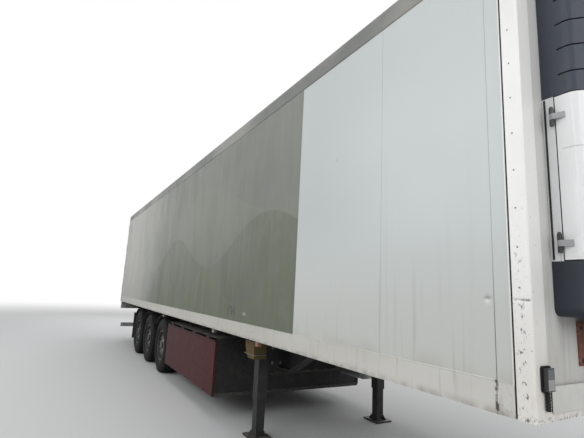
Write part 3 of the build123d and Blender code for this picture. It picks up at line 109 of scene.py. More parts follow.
class Shape:
    """Points with the quads and triangles between them. Two shapes added are one mesh."""

    def __init__(self, points, quads=(), triangles=()):
        self.points = np.asarray(points, float).reshape(-1, 3)
        self.quads = np.asarray(quads, int).reshape(-1, 4)
        self.triangles = np.asarray(triangles, int).reshape(-1, 3)

    def __add__(self, other):
        start = len(self.points)
        return Shape(
            np.vstack((self.points, other.points)),
            np.vstack((self.quads, other.quads + start)),
            np.vstack((self.triangles, other.triangles + start)),
        )

    def at(self, *places):
        """A copy at each place: every point plus every place, by broadcasting."""
        places = np.asarray(places, float).reshape(-1, 3)
        starts = np.arange(len(places))[:, None, None] * len(self.points)
        return Shape(places[:, None] + self.points, self.quads + starts, self.triangles + starts)

    def turned(self, axis, angle):
        """The points turned about an axis through the origin, by the rotation matrix."""
        matrix = np.array(Matrix.Rotation(angle, 3, axis))
        return Shape(self.points @ matrix.T, self.quads, self.triangles)

    def ringed(self, count, axis="Y", first=0.0):
        """Copies at equal turns about an axis."""
        turned = [self.turned(axis, first + 2 * pi * k / count) for k in range(count)]
        return join(turned)

    def facing(self, way):
        """A shape whose top is +z, laid so that its top faces that way."""
        axis, angle = {"right": ("X", pi / 2), "front": ("Y", pi / 2), "rear": ("Y", -pi / 2)}[way]
        return self.turned(axis, angle)

    def mirrored(self):
        """The other side of the vehicle: y changes sign and the faces run the other way."""
        return Shape(self.points * (1, -1, 1), self.quads[:, ::-1], self.triangles[:, ::-1])

    def outward(self):
        """Faces turned round where the enclosed volume, a sum of triple products, is negative."""
        halves = np.vstack((self.quads[:, [0, 1, 2]], self.quads[:, [0, 2, 3]], self.triangles))
        a, b, c = (self.points[halves[:, k]] for k in range(3))
        if np.einsum("ij,ij->i", a, np.cross(b, c)).sum() >= 0:
            return self
        return Shape(self.points, self.quads[:, ::-1], self.triangles[:, ::-1])


def join(shapes):
    """One shape of several."""
    total = Shape(np.zeros((0, 3)))
    for shape in shapes:
        total = total + shape
    return total


def skin(rings, loop=False):
    """Quads between rows of points, each row a closed ring. The last row joins the first where it is
    a loop, and else each end closes in a fan about the mean of its ring."""
    rings = np.asarray(rings, float)
    rows, columns = rings.shape[:2]
    index = np.arange(rows * columns).reshape(rows, columns)
    ahead = np.roll(index, -1, axis=0) if loop else index[1:]
    here = index if loop else index[:-1]
    quads = np.stack((here, np.roll(here, -1, 1), np.roll(ahead, -1, 1), ahead), -1)
    points = rings.reshape(-1, 3)
    if loop:
        return Shape(points, quads).outward()
    points = np.vstack((points, rings[0].mean(0), rings[-1].mean(0)))
    start, end = rows * columns, rows * columns + 1
    first, last = index[0], index[-1]
    fans = [np.stack((np.roll(first, -1), first, np.full(columns, start)), -1),
            np.stack((last, np.roll(last, -1), np.full(columns, end)), -1)]
    return Shape(points, quads, np.vstack(fans)).outward()


def lathe(profile, steps=24, axis="Z"):
    """Each (radius, height) of the profile carried round the axis: radius times cosine and sine of
    the angle. The ends close on the axis."""
    profile = np.asarray(profile, float)
    angle = np.arange(steps) * 2 * pi / steps
    radius = profile[:, :1]
    rings = np.stack((radius * np.cos(angle), radius * np.sin(angle),
                      np.repeat(profile[:, 1:], steps, 1)), -1)
    return skin(rings[..., {"Z": [0, 1, 2], "Y": [1, 2, 0], "X": [2, 0, 1]}[axis]])


def outline(width, height, radius, steps=4):
    """A rectangle with round corners: a corner's centre plus the radius times cosine and sine, over
    a quarter turn at each corner in turn."""
    quarter = np.linspace(0, pi / 2, steps)
    centres = [(1, 1), (-1, 1), (-1, -1), (1, -1)]
    corners = [
        np.stack((sx * (width / 2 - radius) + radius * np.cos(quarter + k * pi / 2),
                  sy * (height / 2 - radius) + radius * np.sin(quarter + k * pi / 2)), -1)
        for k, (sx, sy) in enumerate(centres)
    ]
    return np.vstack(corners)


def slab(width, height, depth, corner, edge):
    """A round-cornered plate, flat in x and y: its outline carried through the depth, drawn in by the
    edge at both faces."""
    full = outline(width, height, corner)
    inner = outline(width - 2 * edge, height - 2 * edge, max(corner - edge, edge / 4))
    levels = [(inner, -depth / 2), (full, edge - depth / 2), (full, depth / 2 - edge), (inner, depth / 2)]
    return skin(np.stack([np.column_stack((loop, np.full(len(loop), level))) for loop, level in levels]))


# A guide that no straight run of a pipe here is parallel to
OBLIQUE = (0.31, 0.27, 0.91)


def sweep(path, profile, loop=False, guide=(0, 0, 1)):
    """A closed profile carried along a path: at each point, profile x runs across the path and the
    guide, and profile y at right angles to both."""
    path = np.asarray(path, float)
    profile = np.asarray(profile, float)
    if loop:
        tangent = np.roll(path, -1, 0) - np.roll(path, 1, 0)
    else:
        tangent = np.gradient(path, axis=0)
    tangent /= np.linalg.norm(tangent, axis=1, keepdims=True)
    across = np.cross(tangent, np.array(guide, float))
    across /= np.linalg.norm(across, axis=1, keepdims=True)
    up = np.cross(across, tangent)
    rings = (path[:, None] + profile[None, :, :1] * across[:, None]
             + profile[None, :, 1:] * up[:, None])
    return skin(rings, loop)


def circle(radius, steps=10):
    """Points of a circle: radius times cosine and sine."""
    angle = np.arange(steps) * 2 * pi / steps
    return radius * np.stack((np.cos(angle), np.sin(angle)), -1)


def bends(corners, radius, steps=6):
    """Straight runs with rounded corners: at each corner, a quadratic blend of the point a radius
    before it, the corner and the point a radius after it."""
    p = np.asarray(corners, float)
    t = np.linspace(0, 1, steps)[:, None]
    path = [p[:1]]
    for before, corner, after in zip(p[:-2], p[1:-1], p[2:]):
        back, on = before - corner, after - corner
        start = corner + back * min(0.45, radius / np.linalg.norm(back))
        end = corner + on * min(0.45, radius / np.linalg.norm(on))
        path.append((1 - t) ** 2 * start + 2 * t * (1 - t) * corner + t**2 * end)
    return np.vstack(path + [p[-1:]])


def pipe(corners, radius, bend=0.03, sides=8):
    """A round bar or tube with straight runs and rounded bends."""
    return sweep(bends(corners, bend), circle(radius, sides), guide=OBLIQUE)


def edge_frame(width, height, corner, thick, deep):
    """A strip round a rectangle with round corners, flat in x and y: a small rounded section carried
    round the outline."""
    path = outline(width, height, corner, 6)
    path = np.column_stack((path, np.zeros(len(path))))
    return sweep(path, outline(thick, deep, min(thick, deep) / 3, 3), loop=True)


def hex_head(radius, height, washer=1.5):
    """A bolt head on its washer: six corners carried up, drawn in at the top, on a short disc."""
    turn = np.arange(6) * pi / 3
    levels = [(radius * 0.9, 0.25 * height), (radius, 0.3 * height), (radius, 0.9 * height),
              (radius * 0.85, height)]
    rings = [np.stack((r * np.cos(turn), r * np.sin(turn), np.full(6, z)), -1) for r, z in levels]
    disc = lathe([(0, 0), (radius * washer, 0), (radius * washer, 0.25 * height), (0, 0.25 * height)], 14)
    return skin(np.stack(rings)) + disc


def piece(name, shape, body, finish, smooth=35.0, replaces=None):
    """Puts a shape in the scene: its mesh and finish, riding on a body."""
    mesh = bpy.data.meshes.new(name)
    faces = shape.quads.tolist() + shape.triangles.tolist()
    mesh.from_pydata(shape.points.tolist(), [], faces)
    mesh.update()
    mesh.shade_smooth()
    mesh.set_sharp_from_angle(angle=radians(smooth))
    made = bpy.data.objects.new(name, mesh)
    bpy.context.scene.collection.objects.link(made)
    made.data.materials.append(finish.material)
    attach(made, body)
    if replaces:
        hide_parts(replaces)
    return made


# Shading: a value that varies over a surface, and the nodes that work it out

def srgb(red, green, blue):
    """A colour from its display values, 0 to 255, made linear."""
    shares = [channel / 255 for channel in (red, green, blue)]
    return tuple(((s + 0.055) / 1.055) ** 2.4 if s > 0.04045 else s / 12.92 for s in shares) + (1.0,)


class Value:
    """A socket that varies over a surface. Arithmetic on it adds Math nodes."""

    def __init__(self, nodes, socket):
        self.nodes = nodes
        self.socket = socket

    def maths(self, operation, first, second):
        return self.nodes.add("Math", {"operation": operation}, {0: first, 1: second})

    def __add__(self, other):
        return self.maths("ADD", self, other)

    def __sub__(self, other):
        return self.maths("SUBTRACT", self, other)

    def __rsub__(self, other):
        return self.maths("SUBTRACT", other, self)

    def __mul__(self, other):
        return self.maths("MULTIPLY", self, other)

    __radd__ = __add__
    __rmul__ = __mul__

    def __abs__(self):
        return self.maths("ABSOLUTE", self, 0.0)

    def most(self, other):
        """The larger of two values."""
        return self.maths("MAXIMUM", self, other)

    def wave(self):
        """Its sine."""
        return self.maths("SINE", self, 0.0)

    def rise(self, start, end):
        """0 below start and 1 above end, smooth between. With end below start it falls instead."""
        flip = end < start
        return self.nodes.add(
            "MapRange", {"interpolation_type": "SMOOTHSTEP"},
            {"Value": self, "From Min": min(start, end), "From Max": max(start, end),
             "To Min": float(flip), "To Max": float(not flip)})

    def near(self, centre, reach, blur):
        """1 within reach of the centre, falling to 0 over the blur."""
        return abs(self - centre).rise(reach + blur, reach)

    def between(self, start, end, blur):
        """1 between start and end, with soft edges."""
        return self.near((start + end) / 2, (end - start) / 2, blur)

    def every(self, pitch, first=0.0):
        """Distance along each pitch, measured from the middle of its cell, as a number from -0.5 to 0.5."""
        cells = (self - first) * (1.0 / pitch) + 0.5
        return self.maths("FLOORED_MODULO", cells, 1.0) - 0.5


class Nodes:
    """A node tree and the one method that adds to it."""

    def __init__(self, tree):
        self.tree = tree

    def add(self, kind, settings=None, inputs=None, output=0):
        """Adds a node: its settings first, then its sockets' values or links. Gives the output asked for."""
        made = self.tree.nodes.new("ShaderNode" + kind)
        for name, value in (settings or {}).items():
            setattr(made, name, value)
        for name, value in (inputs or {}).items():
            if isinstance(value, Value):
                self.tree.links.new(value.socket, made.inputs[name])
            else:
                made.inputs[name].default_value = value
        return Value(self, made.outputs[output])


class Finish(Nodes):
    """A procedural material: a Principled shader and the nodes that feed it."""

    def __init__(self, name, colour, roughness=0.5, **constants):
        self.material = bpy.data.materials.new(name)
        self.material.use_nodes = True
        super().__init__(self.material.node_tree)
        self.shader = self.tree.nodes["Principled BSDF"]
        for word, value in constants.items():
            self.shader.inputs[word.replace("_", " ")].default_value = value
        self.object_place = self.add("TexCoord", output="Object")
        self.x, self.y, self.z = (self.add("SeparateXYZ", inputs={0: self.object_place}, output=k)
                                  for k in range(3))
        self.colour = self.constant(colour)
        self.roughness = roughness
        self.relief = None

    def constant(self, colour):
        """A colour socket that starts a chain of coats."""
        return self.add("Mix", {"data_type": "RGBA"}, {0: 0.0, 6: colour, 7: colour}, output=2)

    def noise(self, size, detail=3.0, stretch=(1, 1, 1), shift=0.0, rough=0.5):
        """Soft noise from 0 to 1, of that feature size in metres, squeezed along each axis by stretch."""
        scale = tuple(s / size for s in stretch)
        place = self.add("Mapping", {}, {"Vector": self.object_place, "Scale": scale,
                                         "Location": (shift, shift * 1.7, shift * 0.6)})
        return self.add("TexNoise", {}, {"Vector": place, "Scale": 1.0, "Detail": detail,
                                         "Roughness": rough})

    def cells(self, size, stretch=(1, 1, 1)):
        """Distance to scattered points, in units of their spacing."""
        scale = tuple(s / size for s in stretch)
        place = self.add("Mapping", {}, {"Vector": self.object_place, "Scale": scale})
        return self.add("TexVoronoi", {}, {"Vector": place, "Scale": 1.0})

    def tops(self):
        """1 on faces that look up, 0 on walls and undersides."""
        normal = self.add("TexCoord", output="Normal")
        return self.add("SeparateXYZ", inputs={0: normal}, output=2).rise(0.2, 0.9)

    def edges(self, reach=0.006):
        """1 where the surface turns a corner within that reach, from the bevelled and true normals."""
        bevel = self.add("Bevel", {"samples": 4}, {"Radius": reach})
        true = self.add("NewGeometry", output="Normal")
        same = self.add("VectorMath", {"operation": "DOT_PRODUCT"}, {0: bevel, 1: true}, output="Value")
        return same.rise(0.995, 0.8)

    def coat(self, amount, colour):
        """Lays a colour over what is there, as far as amount says."""
        self.colour = self.add("Mix", {"data_type": "RGBA"}, {0: amount, 6: self.colour, 7: colour}, output=2)
        return self

    def rub(self, amount, roughness):
        """Brings the roughness towards another, as far as amount says."""
        if isinstance(self.roughness, Value):
            self.roughness = self.roughness * (1 - amount) + amount * roughness
        else:
            self.roughness = amount * (roughness - self.roughness) + self.roughness
        return self

    def emboss(self, height, depth):
        """Adds a height from 0 to 1, times a depth in metres, to the relief."""
        raised = height * depth
        self.relief = raised if self.relief is None else self.relief + raised
        return self

    def done(self):
        """Links the colour, roughness and relief to the shader."""
        self.tree.links.new(self.colour.socket, self.shader.inputs["Base Color"])
        if isinstance(self.roughness, Value):
            self.tree.links.new(self.roughness.socket, self.shader.inputs["Roughness"])
        else:
            self.shader.inputs["Roughness"].default_value = self.roughness
        if self.relief is not None:
            bump = self.add("Bump", {}, {"Height": self.relief, "Distance": 1.0, "Strength": 1.0})
            self.tree.links.new(bump.socket, self.shader.inputs["Normal"])
        return self


# Finishes
GRIME = srgb(112, 104, 90)
DUST = srgb(168, 162, 150)
RUST = srgb(104, 62, 42)
DARK_RUST = srgb(62, 40, 32)
SCUFF = srgb(70, 70, 68)


def streaks(finish, size=0.05, length=1.6, shift=0.0):
    """Runs of dirt: noise that is fine along the wall and long up and down."""
    return finish.noise(size, 3.0, (1, 1, size / length), shift)


def wall_skin():
    """Glossy white sheet of the side walls: seams, rain runs, warm grime low down, painted shade towards the
    rear and up high, a small dent with a painted shade and a painted highlight on its rims.
    """
    f = Finish("wall_skin", srgb(206, 212, 212), 0.34, Coat_Weight=0.15, Coat_Roughness=0.25)
    outside = abs(f.y).rise(WALL_FACE - 0.02, WALL_FACE - 0.01)
    f.coat(f.noise(1.8, 2.0, shift=3.0).rise(0.35, 0.7) * 0.3, srgb(197, 204, 203))
    f.coat(f.z.rise(2.3, SILL_LIP) * 0.7 * outside, srgb(200, 200, 193))
    # Painted shade: the wall darker towards the rear and up high.
    f.coat(f.x.rise(6.1, 4.6) * f.z.rise(1.7, 2.6) * 0.55 * outside, srgb(180, 187, 186))
    runs = streaks(f, 0.09, 2.4).rise(0.56, 0.78) * f.z.rise(3.0, 1.4)
    f.coat(runs * 0.22 * outside, srgb(172, 171, 160))
    fine = streaks(f, 0.03, 1.1, 5.0).rise(0.6, 0.8) * f.z.rise(2.2, SILL_LIP)
    f.coat(fine * 0.25 * outside, GRIME)
    film = f.z.rise(SILL_LIP + 0.12, SILL_LIP) * f.noise(0.3, 4.0).rise(0.35, 0.75)
    f.coat(film * 0.35 * outside, DUST)
    marks = f.cells(0.55).rise(0.045, 0.02) * f.noise(0.01, 2.0).rise(0.4, 0.6)
    f.coat(marks * 0.5 * outside, SCUFF)
    f.coat(f.x.near(PANEL_SEAM, 0.0030, 0.002) * outside * 0.2, srgb(74, 74, 70))
    seam = f.x.near(POST_SEAM, 0.0016, 0.002) * outside
    f.coat(seam * (f.z.rise(2.1, 1.6) * 0.45 + 0.35), srgb(74, 74, 70))
    f.rub(f.noise(0.4, 4.0).rise(0.4, 0.7) * 0.4, 0.5)
    f.emboss(f.noise(0.9, 2.0, (0.35, 1, 1), 2.0) * outside, 0.004)
    f.emboss(f.noise(0.10, 2.0, (0.12, 1, 1), 4.0) * outside, 0.0004)
    dent = f.add("VectorMath", {"operation": "DISTANCE"}, {0: f.object_place, 1: PANEL_DENT}, output="Value")
    # Painted shade along the upper rim of the dent, and a painted highlight along its lower rim.
    f.coat(dent.rise(0.026, 0.008) * f.z.near(1.760, 0.004, 0.006) * 0.55, srgb(120, 124, 122))
    f.coat(dent.rise(0.030, 0.008) * f.z.near(1.742, 0.004, 0.008) * 0.6, srgb(226, 230, 230))
    f.emboss(dent.rise(0.035, 0.004), -0.006)
    return f.done()


HILLS = (
    # foot, swing, pitch, start, strength
    (3.00, 0.36, 1.05, 0.4, 0.42),
    (2.35, 0.30, 1.60, 2.1, 0.55),
    (1.78, 0.22, 2.30, 4.4, 0.50),
)


def film_skin():
    """Faded grey-green film: rain runs, pale worn rear end, three soft rolling hills, scuffs, ripples."""
    f = Finish("faded_film", srgb(113, 117, 108), 0.42, Coat_Weight=0.1, Coat_Roughness=0.4)
    f.coat(f.noise(1.1, 3.0, shift=1.0).rise(0.35, 0.7) * 0.35, srgb(100, 104, 94))
    f.coat(f.x.rise(0.0, -5.8) * 0.9, srgb(184, 184, 178))
    f.coat(f.x.rise(FILM_FRONT - 0.9, FILM_FRONT + 0.1) * 0.4, srgb(122, 128, 118))
    low_dark = f.z.rise(2.9, 1.6) * f.x.between(-1.4, 2.6, 1.8)
    f.coat(low_dark * 0.8, srgb(66, 70, 61))
    worn_through = f.noise(0.35, 5.0, shift=6.0, rough=0.6).rise(0.30, 0.55) * 0.7 + 0.3
    faded = worn_through * f.x.rise(-4.5, 0.5)
    tints = (srgb(116, 123, 106), srgb(74, 83, 64), srgb(92, 101, 74))
    for (foot, swing, pitch, start, strength), tint in zip(HILLS, tints):
        crest = (f.x * pitch + start).wave() * swing + foot
        f.coat((crest - f.z).rise(-0.01, 0.02) * faded * strength, tint)
    pale = streaks(f, 0.06, 1.5, 2.0).rise(0.55, 0.8)
    f.coat(pale * 0.3, srgb(148, 150, 142))
    dark = streaks(f, 0.11, 2.2, 8.0).rise(0.55, 0.8)
    f.coat(dark * 0.35, srgb(82, 85, 78))
    green = f.noise(0.45, 4.0, shift=11.0).rise(0.58, 0.74)
    f.coat(green * 0.25, srgb(98, 106, 84))
    scratch = f.noise(0.012, 2.0, (1, 1, 0.05), 9.0).rise(0.72, 0.8)
    f.coat(scratch * 0.35, srgb(176, 178, 170))
    right = f.y.rise(0.0, -0.1)
    blotches = f.noise(0.045, 3.0, (1, 1, 0.6), 5.0).rise(0.48, 0.56) * right
    f.coat(f.x.near(2.77, 0.09, 0.05) * f.z.near(1.47, 0.045, 0.03) * blotches * 0.95, srgb(26, 30, 24))
    f.coat(f.x.near(3.171, 0.020, 0.05) * f.z.near(1.453, 0.004, 0.022) * right * 0.6, srgb(170, 176, 162))
    f.coat(f.x.near(FILM_FRONT - 0.002, 0.006, 0.006) * 0.5, srgb(84, 89, 78))
    f.rub(f.noise(0.3, 4.0, (1, 1, 0.3)).rise(0.4, 0.7) * 0.6, 0.58)
    f.emboss(f.noise(0.7, 2.0, (0.5, 1, 1), 2.0), 0.004)
    f.emboss(f.noise(0.05, 3.0, (1, 1, 0.12), 4.0), 0.0007)
    return f.done()


def rail_paint():
    """Painted rails: warm grey-white, the top rail darkened by painted shade, the lower rail brightened
    towards the front by painted light, dusty, rust at the ends, dark dirt where they meet the floor.
    """
    f = Finish("rail_paint", srgb(198, 197, 191), 0.42)
    # Painted shade: the top rail much darker than the lower one.
    f.coat(f.z.rise(3.0, 3.5) * 0.95, srgb(98, 101, 98))
    # Painted light: the lower rail brighter towards the front.
    f.coat(f.x.rise(2.0, 6.4) * f.z.rise(2.0, 1.5) * 0.7, srgb(214, 213, 208))
    f.coat(f.noise(0.5, 4.0, (0.5, 1, 1)).rise(0.35, 0.7) * 0.4, srgb(180, 178, 170))
    f.coat(streaks(f, 0.035, 0.4).rise(0.55, 0.75) * 0.25, GRIME)
    foot = f.z.rise(SILL_BOTTOM + 0.05, SILL_BOTTOM) * f.noise(0.08, 4.0).rise(0.3, 0.7)
    f.coat(foot * 0.5, GRIME)
    spots = f.cells(0.42, (1, 1, 2)).rise(0.05, 0.02)
    f.coat(spots * 0.8, RUST)
    f.coat(f.x.near(POST_SEAM, 0.0016, 0.002) * 0.7, srgb(74, 74, 70))
    end = f.x.rise(POST_SEAM - 0.03, POST_SEAM) * f.noise(0.02, 3.0).rise(0.5, 0.65)
    f.coat(end * f.z.rise(1.6, 1.3) * 0.12, RUST)
    rusty_seam = f.x.near(POST_SEAM, 0.006, 0.008) * f.noise(0.03, 4.0, shift=3.0).rise(0.38, 0.6)
    f.coat(rusty_seam * f.z.rise(1.6, 1.3) * 0.9, DARK_RUST)
    f.rub(f.noise(0.2, 3.0).rise(0.4, 0.7) * 0.5, 0.6)
    f.emboss(f.noise(0.5, 2.0, (0.4, 1, 1)), 0.0015)
    return f.done()


def post_paint():
    """Bright painted corner posts: painted shade on the front face and in the crease, chipped and scuffed low
    down, dust in the corner, grime at the foot.
    """
    f = Finish("post_paint", srgb(252, 252, 250), 0.32, Coat_Weight=0.2, Coat_Roughness=0.2)
    front = f.x.rise(FRONT_FACE - 0.012, FRONT_FACE - 0.002)
    # Painted shade: the front face darker than the side.
    f.coat(front * 0.5, srgb(226, 226, 224))
    f.coat(f.noise(0.4, 3.0).rise(0.35, 0.7) * 0.2, srgb(232, 232, 229))
    f.coat(f.z.rise(2.1, 1.2) * 0.55, srgb(224, 219, 208))
    lower = f.z.rise(2.3, 1.5)
    line = f.x.near(RIVET_LINE, 0.012, 0.022)
    chips = f.noise(0.018, 5.0, (1, 1, 0.55), 3.0, 0.7).rise(0.56, 0.62)
    f.coat(chips * line * lower * 0.95, srgb(72, 68, 66))
    small = f.noise(0.011, 3.0, (1, 1, 0.7), 7.0).rise(0.70, 0.74)
    f.coat(small * f.z.rise(3.4, 1.6) * 0.8, srgb(110, 100, 92))
    foot = f.z.rise(SILL_BOTTOM + 0.045, SILL_BOTTOM) * f.noise(0.012, 4.0).rise(0.5, 0.66)
    f.coat(foot * 0.8, srgb(96, 86, 76))
    f.coat(f.noise(0.06, 4.0, (1, 1, 0.2)).rise(0.55, 0.75) * f.z.rise(1.8, 1.2) * 0.4, srgb(186, 172, 150))
    # Painted shade in the crease, broken up by noise.
    crease = f.z.near(POST_CREASE, 0.0025, 0.006) * f.x.between(6.55, 6.62, 0.01)
    f.coat(crease * f.noise(0.02, 3.0).rise(0.3, 0.6) * 0.9, srgb(86, 82, 78))
    drip = streaks(f, 0.03, 0.8, 2.0).rise(0.58, 0.78) * front * f.z.rise(2.4, 1.3)
    f.coat(drip * 0.5, srgb(150, 147, 138))
    f.rub(f.noise(0.1, 3.0).rise(0.4, 0.7) * 0.5, 0.5)
    f.emboss(f.z.near(POST_CREASE, 0.002, 0.012) * f.x.between(6.54, 6.62, 0.02), -0.002)
    f.emboss(chips * line * lower, -0.0004)
    f.emboss(f.noise(0.5, 2.0, (1, 1, 0.3)), 0.002)
    return f.done()


def front_skin():
    """White front wall: rain runs below the unit, grey dust, darker low down."""
    f = Finish("front_skin", srgb(205, 205, 202), 0.4)
    f.coat(f.z.rise(2.2, 1.2) * 0.4, srgb(190, 188, 182))
    f.coat(streaks(f, 0.05, 0.9).rise(0.5, 0.75) * 0.45, srgb(158, 154, 146))
    f.coat(f.noise(0.25, 4.0).rise(0.5, 0.75) * 0.3, DUST)
    shade = f.z.between(1.66, UNIT_FOOT + 0.03, 0.05) * abs(f.y).rise(1.1, 0.9)
    f.coat(shade * 0.4, srgb(140, 135, 126))
    f.rub(f.noise(0.3).rise(0.4, 0.7) * 0.4, 0.6)
    f.emboss(f.noise(0.5, 2.0), 0.002)
    return f.done()


def door_skin():
    """White rear leaves: road film low down, smears about the handles."""
    f = Finish("door_skin", srgb(208, 211, 208), 0.38, Coat_Weight=0.1)
    f.coat(f.z.rise(3.0, 1.3) * 0.6, srgb(182, 179, 168))
    f.coat(f.noise(0.5, 5.0).rise(0.42, 0.72) * f.z.rise(2.8, 1.4) * 0.5, srgb(150, 144, 131))
    f.coat(streaks(f, 0.04, 1.0).rise(0.52, 0.78) * 0.4, GRIME)
    hand = f.z.near(1.76, 0.12, 0.25) * abs(f.y).near(0.75, 0.25, 0.2) * f.noise(0.09, 4.0).rise(0.4, 0.7)
    f.coat(hand * 0.4, SCUFF)
    f.rub(f.noise(0.3).rise(0.4, 0.7) * 0.5, 0.6)
    f.emboss(f.noise(0.6, 2.0), 0.002)
    return f.done()


def floor_skin():
    """Grey sheet floor: scrubbed along the hold, black tyre marks, painted shade underneath."""
    f = Finish("floor_skin", srgb(150, 149, 144), 0.55)
    f.coat(f.noise(0.05, 4.0, (0.06, 1, 1)).rise(0.4, 0.7) * 0.4, srgb(120, 119, 114))
    f.coat(f.noise(0.7, 4.0, (0.3, 1, 1), 3.0).rise(0.5, 0.75) * 0.5, srgb(96, 93, 88))
    tracks = abs(abs(f.y) - 0.42).rise(0.10, 0.05) * f.noise(0.12, 4.0, (0.2, 1, 1)).rise(0.45, 0.65)
    f.coat(tracks * 0.5, srgb(70, 68, 66))
    # Painted shade: the floor panel darker underneath.
    under = f.z.rise(FLOOR_TOP - 0.04, FLOOR_TOP - 0.06)
    f.coat(under * 0.8, srgb(92, 90, 86))
    f.rub(f.noise(0.2).rise(0.4, 0.7) * 0.5, 0.38)
    f.emboss(f.cells(0.012).rise(0.5, 0.2), 0.0004)
    return f.done()


def roof_skin():
    """Roof sheet: dull white with dust in the low places and pale runs to the edges."""
    f = Finish("roof_skin", srgb(196, 198, 194), 0.5)
    f.coat(f.noise(0.9, 5.0).rise(0.4, 0.7) * 0.5, srgb(160, 158, 148))
    f.coat(f.noise(0.08, 3.0, (1, 0.1, 1)).rise(0.55, 0.75) * 0.25, GRIME)
    ribs = f.x.every(1.21).near(0.0, 0.012, 0.006)
    f.coat(ribs * 0.3, srgb(120, 118, 110))
    f.emboss(f.noise(0.8, 2.0), 0.004)
    f.emboss(ribs, 0.0015)
    return f.done()


def steel_coats(name, colour, roughness=0.55, metallic=0.0, rust=0.4, dust=0.35):
    """Painted or bare chassis steel: road dust on top faces, rust on edges and in patches. Its shader is
    not linked yet, so that another coat can follow."""
    f = Finish(name, colour, roughness, Metallic=metallic)
    f.coat(f.noise(0.16, 5.0).rise(0.45, 0.75) * dust * 0.4, GRIME)
    f.coat(f.noise(0.03, 4.0, shift=4.0).rise(0.5, 0.75) * dust * 0.5, GRIME)
    f.coat(f.tops() * f.noise(0.08, 4.0).rise(0.3, 0.65) * dust * 1.6, DUST)
    worn = f.edges(0.004) * f.noise(0.03, 4.0).rise(0.42, 0.62)
    f.coat(worn * rust, RUST)
    patches = f.noise(0.14, 6.0, shift=9.0, rough=0.65).rise(0.6, 0.7)
    f.coat(patches * rust * 0.8, DARK_RUST)
    f.rub(f.noise(0.12, 4.0).rise(0.4, 0.7) * 0.5, 0.8)
    f.emboss(f.noise(0.02, 4.0), 0.0008)
    return f.emboss(patches, 0.0005)


def steel(name, colour, roughness=0.55, metallic=0.0, rust=0.4, dust=0.35):
    """Chassis steel as it is."""
    return steel_coats(name, colour, roughness, metallic, rust, dust).done()


def box_steel():
    """Black box: rubbed and dusty, the lowest rim of its front end grey and worn."""
    f = steel_coats("box_steel", srgb(20, 20, 22), 0.65, rust=0.35, dust=0.25)
    front = f.x.rise(high("pallet_box").x - 0.02, high("pallet_box").x - 0.01)
    rim = f.z.rise(0.330, 0.325) * f.noise(0.04, 4.0).rise(0.25, 0.6)
    return f.coat(rim * front * 0.8, srgb(74, 74, 72)).done()


def zinc_plate(name="zinc_plate", colour=(158, 160, 160)):
    """Galvanised steel: spangle of flat crystals, dull grey bloom, white rust."""
    f = Finish(name, srgb(*colour), 0.42, Metallic=0.55)
    f.coat(f.cells(0.012).rise(0.2, 0.6) * 0.3, srgb(186, 188, 188))
    f.coat(f.noise(0.2, 5.0).rise(0.42, 0.7) * 0.5, srgb(124, 122, 118))
    f.coat(f.noise(0.05, 5.0, shift=2.0).rise(0.6, 0.72) * 0.4, RUST)
    f.rub(f.noise(0.08, 3.0).rise(0.4, 0.7) * 0.6, 0.65)
    f.emboss(f.noise(0.015, 3.0), 0.0003)
    return f.done()


def brushed_steel():
    """Stainless rear frame: fine brushing up and down, road film."""
    f = Finish("brushed_steel", srgb(176, 178, 178), 0.34, Metallic=0.8)
    grain = f.noise(0.004, 3.0, (1, 1, 0.02))
    f.coat(grain.rise(0.35, 0.7) * 0.25, srgb(140, 142, 142))
    f.coat(f.z.rise(2.6, 1.0) * f.noise(0.3, 5.0).rise(0.35, 0.7) * 0.6, srgb(128, 122, 110))
    f.coat(streaks(f, 0.04, 0.7).rise(0.55, 0.78) * 0.35, GRIME)
    f.rub(grain, 0.5)
    f.emboss(grain, 0.0001)
    return f.done()


def bare_alloy():
    """Rolled alloy: soft directional grain, grey oxide, fingerprints of dirt."""
    f = Finish("bare_alloy", srgb(176, 178, 180), 0.36, Metallic=0.9)
    grain = f.noise(0.006, 3.0, (0.05, 1, 1))
    f.coat(grain.rise(0.35, 0.7) * 0.3, srgb(144, 146, 148))
    f.coat(f.noise(0.25, 5.0).rise(0.45, 0.72) * 0.5, srgb(120, 118, 112))
    f.rub(f.noise(0.1, 4.0).rise(0.4, 0.7) * 0.7, 0.6)
    f.emboss(grain, 0.0001)
    return f.done()


def rubber(name, colour=(34, 35, 37), roughness=0.62, dust=0.35):
    """Black rubber: grey bloom, road dust in the hollows, fine grain."""
    f = Finish(name, srgb(*colour), roughness, Specular_IOR_Level=0.35)
    f.coat(f.noise(0.15, 5.0).rise(0.42, 0.7) * dust, srgb(92, 88, 82))
    f.coat(f.noise(0.02, 3.0, shift=2.0).rise(0.55, 0.75) * dust * 0.6, srgb(120, 114, 104))
    f.rub(f.noise(0.05, 3.0).rise(0.4, 0.7) * 0.4, 0.85)
    f.emboss(f.noise(0.004, 2.0), 0.0003)
    return f.done()


def tyre_rubber():
    """Tyre: dark sidewall with grey scuffed bulge and rings, dusty worn tread."""
    f = Finish("tyre_rubber", srgb(13, 14, 15), 0.75, Specular_IOR_Level=0.2)
    radius = f.add("Attribute", {"attribute_name": "wheel_radius"}, {}, output="Fac")
    tread = radius.rise(0.505, 0.522)
    f.coat(tread * 0.6, srgb(34, 33, 32))
    f.coat(f.noise(0.12, 5.0).rise(0.4, 0.7) * 0.25, srgb(42, 40, 37))
    f.coat(radius.near(0.425, 0.03, 0.04) * f.noise(0.04, 4.0).rise(0.45, 0.7) * 0.35, srgb(58, 56, 53))
    f.coat(radius.rise(0.33, 0.30) * 0.4, srgb(46, 42, 38))
    f.rub(f.noise(0.03).rise(0.4, 0.7) * 0.5, 0.85)
    f.emboss(f.noise(0.006, 3.0), 0.0005)
    return f.done()


